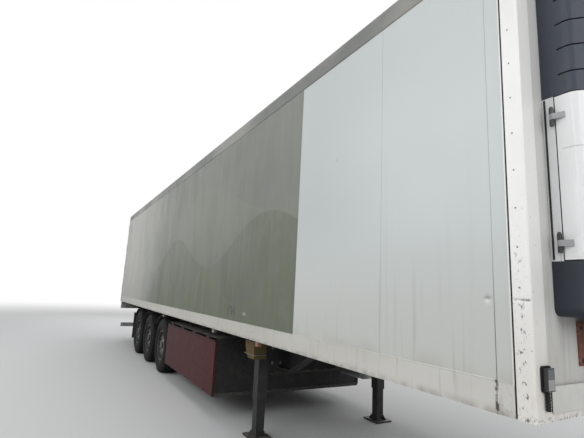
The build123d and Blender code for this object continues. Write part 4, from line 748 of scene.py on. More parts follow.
def rim_silver():
    """Painted wheel: silver-grey, brake dust toward the hub, rust at the holes and edges."""
    f = Finish("rim_silver", srgb(84, 85, 86), 0.46, Metallic=0.35)
    f.coat(f.noise(0.12, 5.0).rise(0.38, 0.7) * 0.5, srgb(54, 51, 48))
    worn = f.edges(0.006) * f.noise(0.03, 4.0).rise(0.35, 0.6)
    f.coat(worn * 0.75, RUST)
    f.coat(f.noise(0.05, 6.0, shift=5.0, rough=0.7).rise(0.6, 0.68) * 0.6, srgb(70, 46, 34))
    f.rub(f.noise(0.06).rise(0.4, 0.7) * 0.6, 0.7)
    f.emboss(f.noise(0.01, 4.0), 0.0004)
    return f.done()


def maroon_paint():
    """Flaps in dull oxide red: a painted reflection towards the rear, a painted shadow along the top edge,
    chalked patches, black rub marks low down, dust runs.
    """
    f = Finish("maroon_paint", srgb(66, 28, 31), 0.62, Specular_IOR_Level=0.25)
    # Painted reflection: the rear end of the flap paler and greyer.
    f.coat(f.x.rise(0.9, -0.4) * 0.6, srgb(62, 34, 35))
    f.coat(f.x.rise(1.2, 2.1) * 0.6, srgb(70, 20, 26))
    f.coat(f.noise(0.5, 5.0, (1, 1, 0.6)).rise(0.3, 0.8) * 0.4, srgb(72, 34, 36))
    f.coat(streaks(f, 0.05, 0.6).rise(0.5, 0.75) * 0.35, srgb(48, 24, 26))
    f.coat(f.z.rise(0.62, 0.3) * f.noise(0.2, 5.0).rise(0.4, 0.65) * 0.5, srgb(54, 42, 40))
    spots = f.cells(0.16).rise(0.20, 0.08) * f.noise(0.04, 4.0).rise(0.4, 0.6)
    f.coat(spots * f.z.between(0.45, 0.65, 0.06) * 0.9, srgb(22, 16, 18))
    # Painted shadow along the top edge, under the hinge.
    f.coat(f.z.rise(0.97, 1.02) * 0.6, srgb(36, 22, 24))
    worn = f.edges(0.004) * f.noise(0.04, 4.0).rise(0.4, 0.6)
    f.coat(worn * 0.8, srgb(92, 40, 40))
    f.rub(f.noise(0.1).rise(0.4, 0.7) * 0.5, 0.72)
    f.emboss(f.noise(0.35, 2.0), 0.002)
    f.emboss(f.noise(0.01, 3.0), 0.0003)
    return f.done()


def plastic(name, colour, roughness=0.5, grain=0.0003, dust=0.3):
    """Moulded plastic: fine pebble grain, dust film, faded patches."""
    f = Finish(name, srgb(*colour), roughness)
    pale = tuple(min(255, channel * 1.25 + 18) for channel in colour)
    f.coat(f.noise(0.3, 4.0).rise(0.4, 0.7) * dust, srgb(*pale))
    f.coat(f.noise(0.03, 4.0, shift=3.0).rise(0.5, 0.85) * dust * 0.35, DUST)
    f.rub(f.noise(0.1).rise(0.4, 0.7) * 0.4, min(1.0, roughness + 0.25))
    f.emboss(f.cells(0.003).rise(0.1, 0.7), grain)
    return f.done()


def shroud_plastic():
    """Slate moulding of the unit: soft satin, paler where rain has bleached it, pale runs."""
    f = Finish("shroud_plastic", srgb(48, 55, 66), 0.42, Specular_IOR_Level=0.4)
    f.coat(f.z.rise(2.3, 1.9) * 0.9, srgb(26, 34, 43))
    f.coat(f.noise(0.35, 4.0, (1, 1, 0.5)).rise(0.3, 0.8) * 0.3, srgb(60, 66, 77))
    f.coat(streaks(f, 0.04, 0.5).rise(0.58, 0.8) * 0.15, srgb(104, 108, 112))
    f.rub(f.noise(0.1).rise(0.4, 0.7) * 0.4, 0.58)
    f.emboss(f.cells(0.003).rise(0.1, 0.7), 0.0002)
    f.emboss(f.noise(0.3, 2.0), 0.0015)
    return f.done()


def unit_white():
    """White moulding of the service doors: glossy, faint warm runs from the seams."""
    f = Finish("unit_white", srgb(238, 239, 240), 0.32, Coat_Weight=0.2, Coat_Roughness=0.25)
    f.coat(f.noise(0.4, 3.0).rise(0.2, 0.9) * 0.2, srgb(212, 213, 213))
    f.coat(streaks(f, 0.03, 0.7).rise(0.58, 0.8) * 0.2, srgb(184, 176, 160))
    f.coat(f.z.rise(2.2, 1.97) * f.noise(0.1, 4.0).rise(0.4, 0.7) * 0.25, DUST)
    f.rub(f.noise(0.2).rise(0.4, 0.7) * 0.3, 0.4)
    arms = abs(f.y).rise(UNIT_HALF + 0.001, UNIT_HALF + 0.004)
    f.coat(arms * 0.9, srgb(138, 140, 142))
    f.emboss(f.noise(0.5, 1.0), 0.0008)
    return f.done()


def bay_skin():
    """Engine bay frame: black inside, its outer flanks white like the doors, knuckles dark."""
    f = Finish("bay_skin", srgb(224, 225, 226), 0.3)
    f.coat(f.noise(0.3, 3.0).rise(0.3, 0.8) * 0.2, srgb(206, 206, 204))
    f.coat(streaks(f, 0.02, 0.5).rise(0.55, 0.8) * 0.3, GRIME)
    outer = abs(f.y).rise(UNIT_HALF - 0.003, UNIT_HALF - 0.001)
    f.coat(1 - outer, srgb(24, 25, 27))
    f.coat(abs(f.y).rise(UNIT_HALF + 0.001, UNIT_HALF + 0.003), srgb(34, 35, 37))
    f.rub(f.noise(0.1).rise(0.4, 0.7) * 0.5, 0.5)
    return f.done()


def rusted_plate():
    """Bare plate gone brown: layered rust, darker pits, pale scale, streaks down."""
    f = Finish("rusted_plate", srgb(112, 76, 64), 0.85)
    f.coat(f.noise(0.08, 6.0).rise(0.4, 0.65) * 0.7, srgb(96, 60, 48))
    f.coat(f.noise(0.025, 6.0, shift=4.0).rise(0.55, 0.68) * 0.7, srgb(150, 112, 92))
    f.coat(f.cells(0.03).rise(0.3, 0.1) * 0.5, DARK_RUST)
    f.coat(streaks(f, 0.02, 0.3).rise(0.55, 0.75) * 0.35, srgb(86, 52, 40))
    f.emboss(f.noise(0.012, 6.0), 0.0012)
    return f.done()


def lens(name, colour, clear=0.15, aged=False):
    """Lamp lens: tinted glossy plastic with moulded ribs behind the surface. Aged ones are bleached
    grey, but for the foremost, and on the front wall smoke grey over a pale lower half, dark round
    the rim."""
    f = Finish(name, srgb(*colour), 0.18, Coat_Weight=0.5, Coat_Roughness=0.05)
    ribs = f.z.every(0.006).near(0.0, 0.18, 0.2)
    f.coat(ribs * clear, srgb(*(min(255, c + 60) for c in colour)))
    f.coat(f.noise(0.03, 4.0).rise(0.5, 0.75) * 0.3, DUST)
    if aged:
        f.coat(f.x.rise(2.9, 2.6) * 0.8, srgb(112, 108, 102))
        front = f.x.rise(FRONT_FACE - 0.012, FRONT_FACE - 0.002)
        f.coat(front, srgb(88, 91, 94))
        f.coat(front * f.z.rise(LAMP_SPLIT + 0.003, LAMP_SPLIT - 0.001), srgb(150, 151, 149))
        inside = abs(abs(f.y) - LAMP_Y).rise(0.029, 0.027) * abs(f.z - LAMP_SPLIT).rise(0.049, 0.047)
        f.coat(front * (1 - inside), srgb(12, 13, 15))
    f.emboss(ribs, 0.0004)
    return f.done()


WALL = wall_skin()
FILM = film_skin()
RAIL = rail_paint()
POST = post_paint()
BLACK_RUBBER = rubber("black_rubber", (20, 21, 23))
SEAL_RUBBER = rubber("seal_rubber", (9, 10, 12), 0.6, 0.08)
CHASSIS = steel("chassis_black", srgb(20, 20, 22), 0.6, rust=0.4, dust=0.25)
GREY_STEEL = steel("leg_steel", srgb(30, 31, 33), 0.6, rust=0.45, dust=0.25)
AXLE_IRON = steel("axle_iron", srgb(32, 29, 27), 0.7, rust=0.8, dust=0.4)
BOLT_ZINC = zinc_plate("bolt_zinc", (132, 132, 128))
ZINC = zinc_plate()
ALLOY = bare_alloy()
BLACK_PLASTIC = plastic("black_plastic", (28, 29, 31), 0.55)
SHROUD = shroud_plastic()
UNIT_WHITE = unit_white()
TYRE = tyre_rubber()
RIM = rim_silver()
MAROON = maroon_paint()
RUSTY_BOLT = steel("rusty_bolt", srgb(74, 50, 42), 0.8, rust=0.9)
RIVET_DARK = zinc_plate("rivet_dark", (96, 94, 90))
WIRE_BLACK = steel("wire_black", srgb(26, 27, 28), 0.45, rust=0.3, dust=0.2)
PLATE_WHITE = plastic("plate_white", (208, 208, 202), 0.3, 0.00005, 0.25)
LENS_AMBER = lens("lamp_amber", (170, 76, 24))
LENS_AGED = lens("lamp_aged", (122, 58, 30), aged=True)
LENS_RED = lens("lamp_red", (140, 22, 20))
LENS_CLEAR = lens("lamp_clear", (196, 196, 192))
CAP_RED = plastic("cap_red", (150, 36, 32), 0.45)
CAP_YELLOW = plastic("cap_yellow", (196, 158, 40), 0.45)
HOUSING_WHITE = plastic("housing_white", (206, 207, 204), 0.4, 0.0001, 0.25)

NODE_FINISHES = {
    "floor_panel": floor_skin(), "side_wall_right": WALL, "side_wall_left": WALL,
    "roof_panel": roof_skin(), "front_wall": front_skin(), "front_frame": POST,
    "corner_seals": SEAL_RUBBER, "side_rails": RAIL, "evaporator_housing": HOUSING_WHITE,
    "rear_frame": brushed_steel(), "dock_buffers": BLACK_RUBBER, "rear_lamps": BLACK_PLASTIC,
    "underrun_bar": ZINC, "chassis_beams": CHASSIS, "cross_members": CHASSIS, "coupler_plate": CHASSIS,
    "kingpin": steel("greased_iron", srgb(70, 66, 62), 0.35, 0.7, 0.3),
    "leg_housings": GREY_STEEL, "leg_feet": GREY_STEEL, "trailing_arms": AXLE_IRON,
    "air_springs": BLACK_RUBBER, "axle_beams": AXLE_IRON, "mudguards": BLACK_PLASTIC,
    "pallet_box": box_steel(),
    "box_flap_right": MAROON, "box_flap_left": MAROON, "air_tanks": CHASSIS, "fuel_tank": ALLOY,
    "marker_lamps": LENS_AGED, "unit_shroud": SHROUD, "unit_fairing": SHROUD,
    "unit_bay": bay_skin(), "unit_door_right": UNIT_WHITE, "unit_door_left": UNIT_WHITE,
    "engine_block": steel("engine_iron", srgb(88, 90, 92), 0.6, 0.3, 0.5),
    "coupling_board": rusted_plate(),
    "wheel_chock": plastic("chock_yellow", (78, 62, 18), 0.65, 0.0003, 0.3),
}
DOOR_SKIN = door_skin()
for side in SIDES:
    NODE_FINISHES[f"door_{side}_panel"] = DOOR_SKIN
    NODE_FINISHES[f"door_{side}_fittings"] = ZINC
for name, node in frame["nodes"].items():
    finish = NODE_FINISHES.get(name, RIM if name.endswith("rim") else TYRE)
    node.data.materials.clear()
    node.data.materials.append(finish.material)


# Body trim

def pair(name, shape, finish, body="trailer", smooth=35.0):
    """A right-hand shape and its mirror image, each riding on its own side's body."""
    for side, made in (("right", shape), ("left", shape.mirrored())):
        piece(f"{name}_{side}", made, body.format(side), finish, smooth)


def bolts(radius, height, way, places):
    """Bolt heads facing one way, one at each place."""
    return hex_head(radius, height).facing(way).at(*places)


def grid(*spans):
    """Every combination of the values given along x, y and z."""
    return np.stack(np.meshgrid(*spans, indexing="ij"), -1).reshape(-1, 3)


def bead(length, width, proud):
    """A half-round strip along x on a right-hand face: its section is a half circle, flattened to
    stand that far proud."""
    turn = np.linspace(0, pi, 7)
    section = np.stack((width / 2 * np.cos(turn), proud * np.sin(turn)), -1)
    section = np.vstack((section, (-width / 2, -0.0005), (width / 2, -0.0005)))
    rings = [np.stack((np.full(len(section), x), -section[:, 1], section[:, 0]), -1)
             for x in (-length / 2, length / 2)]
    return skin(np.stack(rings))


FILM_THICK = 0.0007
FILM_PROUD = 0.0006
film_length = FILM_FRONT - WALL_REAR - 0.004
film = slab(film_length, ROOF_LIP - SILL_LIP, FILM_THICK, 0.012, 0.0002).facing("right")
film_place = (FILM_FRONT - film_length / 2, -WALL_FACE - FILM_PROUD, (SILL_LIP + ROOF_LIP) / 2)
pair("film", film.at(film_place), FILM)

LIP_WIDTH = 0.009
LIP_PROUD = 0.0038
LIP_INSET = 0.004
lip_middle = (POST_SEAM + WALL_REAR) / 2
lips = bead(POST_SEAM - WALL_REAR, LIP_WIDTH, LIP_PROUD).at(
    (lip_middle, -WALL_FACE, SILL_LIP + LIP_INSET), (lip_middle, -WALL_FACE, ROOF_LIP - LIP_INSET))
pair("rail_lips", lips, RAIL)

STRIP_WIDTH = 0.006
STRIP_THICK = 0.003
strip_height = ROOF_TOP - SILL_BOTTOM - 0.01
corner_strip = slab(STRIP_WIDTH, strip_height, STRIP_THICK, 0.0015, 0.0008).facing("right")
corner_place = (WALL_FRONT - 0.004, -WALL_FACE - 0.0008, (ROOF_TOP + SILL_BOTTOM) / 2)
pair("corner_strips", corner_strip.at(corner_place), POST)

rivet = lathe([(0, 0.0014), (0.003, 0.0012), (0.0048, 0.0004), (0.0052, -0.0005), (0, -0.0005)], 10)
rivet_levels = RIVET_FIRST + RIVET_PITCH * np.arange(RIVET_COUNT)
rivet_places = grid([RIVET_LINE], [-HALF_WIDTH], rivet_levels)
pair("post_rivets", rivet.facing("right").at(*rivet_places), RIVET_DARK)

# Front lamps, each in a rubber frame with a ribbed tail
LAMP_HEIGHT = 0.114
LAMP_WIDTH = 0.074
TAIL_LENGTH = 0.092
TAIL_RIB = 0.0145
TAIL_FOOT = 1.240
tail_height = np.linspace(0, TAIL_LENGTH, 46)
tail_radius = 0.0090 + 0.0032 * np.abs(np.sin(tail_height * pi / TAIL_RIB))
lamp_frame = edge_frame(LAMP_HEIGHT, LAMP_WIDTH, 0.010, 0.008, 0.010).facing("front")
lamp_tail = lathe(np.stack((tail_radius, tail_height), -1), 12)
rubber_parts = (lamp_frame.at((FRONT_FACE + 0.005, -LAMP_Y, LAMP_SPLIT))
                + lamp_tail.at((FRONT_FACE + 0.0125, -LAMP_Y - 0.006, TAIL_FOOT)))
pair("front_lamp_rubbers", rubber_parts, SEAL_RUBBER)

# Blank plate beside the right front lamp
PLATE_MIDDLE = (FRONT_FACE + 0.003, -0.9115, 1.286)
PLATE_HEIGHT = 0.120
PLATE_LENGTH = 0.526
PLATE_LAP = 0.006
plate_holder = slab(PLATE_HEIGHT, PLATE_LENGTH, 0.006, 0.010, 0.001).facing("front")
piece("plate_holder", plate_holder.at(PLATE_MIDDLE), "trailer", BLACK_PLASTIC)
plate_sheet = slab(PLATE_HEIGHT + PLATE_LAP, PLATE_LENGTH + PLATE_LAP, 0.003, 0.010, 0.0008).facing("front")
plate_rim = edge_frame(PLATE_HEIGHT, PLATE_LENGTH, 0.010, 0.004, 0.0026).facing("front")
blank_plate = (plate_sheet + plate_rim.at((0.0015, 0, 0))).at(PLATE_MIDDLE).at((0.0045, 0, 0))
piece("blank_plate", blank_plate, "trailer", PLATE_WHITE)

# Couplings below the unit: lids on the sockets, heads on the two air couplings, bolts in the board
SOCKET_FACE = 6.694
HEAD_FACE = 6.689
BOARD_FACE = 6.634
COUPLING_LEVEL = 1.543
SOCKETS_Y = [-0.3, 0.0, 0.3]
HEAD_Y = 0.56
socket_lid = (lathe([(0, 0.012), (0.026, 0.011), (0.040, 0.006), (0.043, 0), (0, 0)], 24)
              + slab(0.030, 0.024, 0.012, 0.004, 0.002).at((-0.046, 0, 0.005)))
lids = socket_lid.facing("front").at(*grid([SOCKET_FACE], SOCKETS_Y, [COUPLING_LEVEL]))
piece("socket_lids", lids, "trailer", BLACK_PLASTIC)
air_head = (lathe([(0, 0.016), (0.014, 0.016), (0.018, 0.010), (0.031, 0.008), (0.034, 0), (0, 0)], 20)
            + slab(0.052, 0.020, 0.009, 0.004, 0.002).at((0.030, 0.020, 0.005)))
for side, cap in (("right", CAP_YELLOW), ("left", CAP_RED)):
    head_place = (HEAD_FACE, SIDES[side] * HEAD_Y, COUPLING_LEVEL)
    piece(f"air_head_{side}", air_head.facing("front").at(head_place), "trailer", cap)
board_places = grid([BOARD_FACE], [-0.86, -0.45, 0.45, 0.86], [1.458, 1.622])
piece("board_bolts", bolts(0.010, 0.008, "front", board_places), "trailer", RUSTY_BOLT)


# Refrigeration unit

def fan_guard(radius, rings=6, bars=6, wire=0.0022):
    """A wire guard, flat in x and y: round wires at equal steps of radius, and straight ones across."""
    turn = circle(1.0, 40)
    made = [sweep(np.column_stack((turn * r, np.zeros(len(turn)))), circle(wire, 6), loop=True)
            for r in np.linspace(radius * 0.22, radius, rings)]
    bar = sweep([(0, 0, 2 * wire), (radius, 0, 2 * wire)], circle(wire, 6))
    return join(made) + bar.ringed(bars, "Z")


def fan_blades(inner, outer, count=7):
    """Twisted blades round z: at each radius a lens section, an ellipse tipped by a pitch that falls
    towards the tip."""
    radius = np.linspace(inner, outer, 8)[:, None]
    turn = np.arange(12) * pi / 6
    pitch = 0.95 - 0.45 * (radius - inner) / (outer - inner)
    along, lift = 0.042 * np.cos(turn), 0.003 * np.sin(turn)
    across = along * np.cos(pitch) - lift * np.sin(pitch)
    up = along * np.sin(pitch) + lift * np.cos(pitch)
    return skin(np.stack((np.broadcast_to(radius, across.shape), across, up), -1)).ringed(count, "Z")


UNIT_TOP = high("unit_shroud").z
FAN_X = 6.845
FAN_Y = 0.480
GUARD_RADIUS = 0.158
GUARD_LIFT = 0.0032
BLADE_DROP = 0.048
fan_places = grid([FAN_X], [-FAN_Y, FAN_Y], [UNIT_TOP])
unit_guards = fan_guard(GUARD_RADIUS).at(*fan_places).at((0, 0, GUARD_LIFT))
piece("unit_fan_guards", unit_guards, "trailer", WIRE_BLACK)
unit_blades = fan_blades(0.057, 0.143).at(*fan_places).at((0, 0, -BLADE_DROP))
piece("unit_fan_blades", unit_blades, "trailer", BLACK_PLASTIC)
fan_hub = lathe([(0, 0.002), (0.040, 0.002), (0.050, 0), (0, 0)], 24)
piece("unit_fan_hubs", fan_hub.at(*fan_places), "trailer", BLACK_PLASTIC)

LATCH_Y = 0.062
LATCH_LEVELS = [2.14, 2.68]
latch = (edge_frame(0.130, 0.052, 0.012, 0.006, 0.004)
         + slab(0.116, 0.040, 0.004, 0.008, 0.001).at((0, 0, -0.001))
         + slab(0.052, 0.024, 0.006, 0.005, 0.0015).at((-0.020, 0, 0.0005)))
latches = latch.facing("front").at(*grid([UNIT_FRONT - 0.0035], [-LATCH_Y], LATCH_LEVELS))
pair("unit_latches", latches, BLACK_PLASTIC, "unit_door_{}")

HINGE_X = 6.681
HINGE_Y = 1.106
HINGE_RISES = (0.090, 0.779)
KNUCKLE_TOP = 0.050
hinge_cap = lathe([(0, 0.008), (0.006, 0.008), (0.0085, 0.005), (0.0085, 0), (0, 0)], 14)
hinge_levels = [UNIT_DOOR_FOOT + rise + KNUCKLE_TOP for rise in HINGE_RISES]
hinge_caps = hinge_cap.at(*grid([HINGE_X], [-HINGE_Y], hinge_levels))
pair("unit_hinge_caps", hinge_caps, WIRE_BLACK)

GASKET_X = 6.640
GASKET_INSET = 0.008
gasket = pipe([(GASKET_X, -UNIT_HALF - 0.002, UNIT_DOOR_FOOT + GASKET_INSET),
               (GASKET_X, -UNIT_HALF - 0.002, UNIT_DOOR_HEAD - GASKET_INSET)], 0.005)
pair("unit_gaskets", gasket, SEAL_RUBBER)


# Engine behind the service doors

def ridged(length, across, top):
    """A plate standing on z = 0 with straight ridges along y: its height is given at each place across x."""
    half, level = np.array([(-1, 0), (1, 0), (1, 1), (-1, 1)]).T
    rings = np.broadcast_arrays(across[:, None], half * length / 2, top[:, None] * level)
    return skin(np.stack(rings, -1))


def belt(wheels, width, thick, steps=120):
    """A belt, flat in x and y, round wheels given by place and radius: in each direction, the point of
    all the wheels that reaches furthest."""
    wheels = np.array(wheels)
    turn = circle(1.0, steps)
    furthest = wheels[(turn @ wheels[:, :2].T + wheels[:, 2]).argmax(1)]
    path = furthest[:, :2] + furthest[:, 2:] * turn
    return sweep(np.column_stack((path, np.zeros(steps))), outline(thick, width, thick / 3, 3), loop=True)


def pulley(radius):
    """A grooved wheel standing on z = 0, with a raised boss."""
    return lathe([(0, 0), (radius, 0), (radius, 0.003), (radius - 0.009, 0.009), (radius - 0.009, 0.015),
                  (radius, 0.021), (radius, 0.024), (radius * 0.75, 0.020), (radius * 0.35, 0.020),
                  (radius * 0.3, 0.030), (0, 0.030)], 36)


# Head with a ridged top and a filler, and a bolted cover on the front
HEAD_LENGTH = 0.66
HEAD_HALF = 0.100
HEAD_RIDGE = 0.025
COVER_LEVEL = 2.30
block_low, block_high = low("engine_block"), high("engine_block")
block_x = (block_low.x + block_high.x) / 2
head_across = np.linspace(-HEAD_HALF, HEAD_HALF, 81)
head_top = 0.058 + 0.006 * np.cos(head_across * 2 * pi / HEAD_RIDGE)
cover_place = (block_high.x + 0.006, 0.10, COVER_LEVEL)
engine_cover = slab(0.34, 0.56, 0.020, 0.03, 0.004).facing("front").at(cover_place)
filler = lathe([(0, 0.030), (0.024, 0.028), (0.030, 0.020), (0.030, 0), (0, 0)], 24)
engine_head = (ridged(HEAD_LENGTH, head_across, head_top).at((block_x, -0.06, block_high.z))
               + filler.at((block_x, 0.12, block_high.z + 0.060)) + engine_cover)
piece("engine_head", engine_head, "trailer", ALLOY)
cover_places = grid([block_high.x + 0.015], [-0.15, 0.01, 0.19, 0.35], [2.155, 2.445])
piece("engine_bolts", bolts(0.008, 0.007, "front", cover_places), "trailer", BOLT_ZINC)

# Belt drive on the right end of the block
PULLEYS = (
    # x, z, radius
    (6.800, 2.080, 0.085),
    (6.735, 2.430, 0.070),
    (6.885, 2.330, 0.045),
)
BELT_WIDTH = 0.011
BELT_THICK = 0.008
PULLEY_LIFT = 0.006
BELT_LIFT = 0.018
drive_place = (0, block_low.y, 0)
drive = join([pulley(radius).at((x, z, PULLEY_LIFT)) for x, z, radius in PULLEYS])
piece("engine_pulleys", drive.facing("right").at(drive_place), "trailer", BOLT_ZINC)
belt_wheels = [(x, z, radius - 0.004) for x, z, radius in PULLEYS]
drive_belt = belt(belt_wheels, BELT_WIDTH, BELT_THICK).at((0, 0, BELT_LIFT))
piece("engine_belt", drive_belt.facing("right").at(drive_place), "trailer", SEAL_RUBBER)

# Silencer with its pipe
SILENCER_PLACE = (6.780, -0.74, 1.960)
EXHAUST_PATH = [(6.720, -0.44, 2.52), (6.720, -0.62, 2.52), (6.770, -0.74, 2.66), (6.780, -0.74, 2.50)]
silencer = lathe([(0, 0), (0.030, 0), (0.030, 0.03), (0.056, 0.04), (0.062, 0.06), (0.062, 0.20),
                  (0.065, 0.21), (0.065, 0.23), (0.062, 0.24), (0.062, 0.54), (0.056, 0.56),
                  (0.022, 0.575), (0, 0.575)], 28)
exhaust = pipe(EXHAUST_PATH, 0.018, 0.06)
piece("silencer", silencer.at(SILENCER_PLACE) + exhaust, "trailer", RUSTY_BOLT)

# Radiator: a finned core in a frame
RADIATOR = (6.672, 0.74, 2.345)
CORE_HALF = 0.355
CORE_WIDTH = 0.43
FIN_PITCH = 0.0142
fins_across = np.linspace(-CORE_HALF, CORE_HALF, 285)
fins_top = 0.046 + 0.004 * np.cos(fins_across * 2 * pi / FIN_PITCH)
core = ridged(CORE_WIDTH, fins_across, fins_top).facing("front")
radiator_rim = edge_frame(0.740, 0.46, 0.020, 0.028, 0.060).facing("front").at((0.026, 0, 0))
piece("radiator", (core + radiator_rim).at(RADIATOR), "trailer", WIRE_BLACK)

# Compressor: a barrel ribbed about its middle, on a foot
COMPRESSOR = (6.845, 0.48, 2.065)
COMPRESSOR_FOOT = (6.845, 0.63, 1.980)
BARREL_LENGTH = 0.30
BARREL_RADIUS = 0.070
RIB_PITCH = 0.05
RIB_REACH = 0.11
ribs = np.linspace(0, BARREL_LENGTH, 49)
on_rib = (np.cos(ribs * 2 * pi / RIB_PITCH) > 0) * (np.abs(ribs - 0.15) < RIB_REACH)
barrel = BARREL_RADIUS + 0.006 * on_rib
compressor = lathe(np.stack((barrel, ribs), -1), 28, "Y").at(COMPRESSOR)
compressor_foot = slab(0.14, 0.24, 0.04, 0.01, 0.003).at(COMPRESSOR_FOOT)
piece("compressor", compressor + compressor_foot, "trailer", ALLOY)

HOSES = (
    # path, radius, bend
    ([(6.820, 0.34, 2.56), (6.820, 0.34, 2.70), (6.800, 0.62, 2.70), (6.695, 0.62, 2.62)], 0.018, 0.06),
    ([(6.900, 0.43, 2.20), (6.900, 0.56, 2.22), (6.740, 0.60, 2.22), (6.695, 0.60, 2.22)], 0.018, 0.05),
    ([(6.845, 0.72, 2.13), (6.845, 0.72, 2.24), (6.720, 0.84, 2.30), (6.695, 0.84, 2.40)], 0.010, 0.06),
)
hoses = join([pipe(path, radius, bend) for path, radius, bend in HOSES])
piece("engine_hoses", hoses, "trailer", SEAL_RUBBER)
SWITCH_BOX = (6.688, -0.92, 2.40)
switch_box = slab(0.40, 0.20, 0.10, 0.015, 0.005).facing("front").at(SWITCH_BOX)
piece("switch_box", switch_box, "trailer", BLACK_PLASTIC)

# Evaporator fans on the sloping face inside the hold
slope_foot, slope_head = (6.376, 3.417), (6.136, 3.787)
slope_turn = atan2(-(slope_head[1] - slope_foot[1]), slope_head[0] - slope_foot[0])
slope_middle = ((slope_foot[0] + slope_head[0]) / 2, (slope_foot[1] + slope_head[1]) / 2)
evaporator_fan = fan_guard(0.150) + lathe([(0, -0.001), (0.165, -0.001), (0.170, -0.006), (0, -0.006)], 40)
fan_rows = grid([slope_middle[0]], [-0.46, 0.0, 0.46], [slope_middle[1]])
fans = evaporator_fan.at((0, 0, 0.008)).turned("Y", slope_turn).at(*fan_rows)
piece("evaporator_fans", fans, "trailer", BLACK_PLASTIC)

# Hold: kick plates, floor bars and the seal round the doorway
HOLD_LENGTH = 13.3
HOLD_MIDDLE = -0.16
KICK_HEIGHT = 0.28
KICK_WAVE = 0.056
kick_up = np.linspace(0, KICK_HEIGHT, 21)
kick = ridged(HOLD_LENGTH, kick_up, 0.003 + 0.0015 * (1 - np.cos(kick_up * 2 * pi / KICK_WAVE)))
kick_plate = Shape(kick.points[:, [1, 2, 0]], kick.quads, kick.triangles)
pair("kick_plates", kick_plate.at((HOLD_MIDDLE, -WALL_INSIDE, FLOOR_TOP)), ALLOY)
FLOOR_BAR_REACH = 1.15
FLOOR_BAR_COUNT = 24
floor_bar = bead(HOLD_LENGTH, 0.026, 0.0035).turned("X", -pi / 2)
bar_rows = np.linspace(-FLOOR_BAR_REACH, FLOOR_BAR_REACH, FLOOR_BAR_COUNT)
floor_bars = floor_bar.at(*grid([HOLD_MIDDLE], bar_rows, [FLOOR_TOP]))
piece("floor_bars", floor_bars, "trailer", ALLOY)
DOORWAY_X = -6.872
DOORWAY_WIDTH = 2.44
HEADER_DROP = 0.063
SEAL_INSET = 0.03
doorway_height = ROOF_TOP - HEADER_DROP - FLOOR_TOP - SEAL_INSET
doorway = edge_frame(doorway_height, DOORWAY_WIDTH, 0.03, 0.014, 0.010).facing("rear")
doorway_middle = (DOORWAY_X, 0, (ROOF_TOP - HEADER_DROP + FLOOR_TOP) / 2)
piece("doorway_seal", doorway.at(doorway_middle), "trailer", SEAL_RUBBER)

# Rear: bolts in the door straps and the rod guides, lamp lenses, caps on the underrun bar
STRAP_LEVELS = (1.561, 1.685, 2.220, 2.344, 2.880, 3.004, 3.539, 3.663)
STRAP_Y = [-1.205, -1.140, -1.075]
strap_bolts = bolts(0.008, 0.007, "rear", grid([REAR_FACE - 0.006], STRAP_Y, STRAP_LEVELS))
pair("strap_bolts", strap_bolts, BOLT_ZINC, "rear_door_{}")
ROD_LEVELS = (1.328, 1.773, 2.432, 3.092, 3.751, 3.896)
RODS_Y = (0.308, 0.908)
GUIDE_HALF = 0.019
guide_places = np.vstack([grid([REAR_FACE - 0.036], [-rod - GUIDE_HALF, -rod + GUIDE_HALF], ROD_LEVELS)
                          for rod in RODS_Y])
pair("guide_bolts", bolts(0.0055, 0.004, "rear", guide_places), BOLT_ZINC, "rear_door_{}")
LENS_LEVEL = 1.071
REAR_LENSES = (("amber", 1.045, LENS_AMBER), ("red", 0.950, LENS_RED), ("clear", 0.855, LENS_CLEAR))
rear_lens = lathe([(0, 0.009), (0.014, 0.0085), (0.028, 0.006), (0.038, 0.002), (0.041, 0), (0, 0)], 32)
for name, out, glow in REAR_LENSES:
    spot = (low("rear_lamps").x, -out, LENS_LEVEL)
    pair(f"rear_lens_{name}", rear_lens.facing("rear").at(spot), glow)
bar_corner = low("underrun_bar")
bar_cap = slab(0.104, 0.124, 0.012, 0.022, 0.004).facing("right")
cap_place = (bar_corner.x + 0.050, bar_corner.y - 0.004, bar_corner.z + 0.060)
pair("underrun_caps", bar_cap.at(cap_place), BLACK_PLASTIC)

# Pallet box: rolled lips and catches on the flaps, a notched strip at the front corner
FLAP_FACE = -1.258
FLAP_X = (low("box_flap_right").x + high("box_flap_right").x) / 2
FLAP_LENGTH = 2.66
FLAP_HEAD = 1.012
FLAP_FOOT = 0.294
CATCHES_X = [-0.1, 0.83, 1.76]
CATCH_LEVEL = 0.322
flap_beads = (bead(FLAP_LENGTH, 0.018, 0.009).at((FLAP_X, FLAP_FACE, FLAP_HEAD))
              + bead(FLAP_LENGTH, 0.014, 0.006).at((FLAP_X, FLAP_FACE, FLAP_FOOT)))
pair("flap_beads", flap_beads, MAROON, "box_flap_{}")
catch_loop = [(-0.020, 0, 0.001), (-0.020, 0, 0.014), (0.020, 0, 0.014), (0.020, 0, 0.001)]
flap_catch = slab(0.060, 0.040, 0.004, 0.008, 0.001) + pipe(catch_loop, 0.004, 0.008)
flap_catches = flap_catch.facing("right").at(*grid(CATCHES_X, [FLAP_FACE - 0.002], [CATCH_LEVEL]))
pair("flap_catches", flap_catches, WIRE_BLACK, "box_flap_{}")
BOX_FRONT = high("pallet_box").x
BOX_STRIP_Y = -1.240
BOX_STRIP_HEIGHT = 0.700
NOTCH_LEVELS = np.linspace(0.37, 0.94, 8)
strip_place = (BOX_FRONT + 0.001, BOX_STRIP_Y, 0.655)
box_strip = slab(BOX_STRIP_HEIGHT, 0.030, 0.004, 0.003, 0.001).facing("front").at(strip_place)
pair("box_corner_strips", box_strip, MAROON)
notch = slab(0.040, 0.012, 0.002, 0.004, 0.0006).facing("front")
notches = notch.at(*grid([BOX_FRONT + 0.0032], [BOX_STRIP_Y], NOTCH_LEVELS))
pair("box_corner_notches", notches, SEAL_RUBBER)

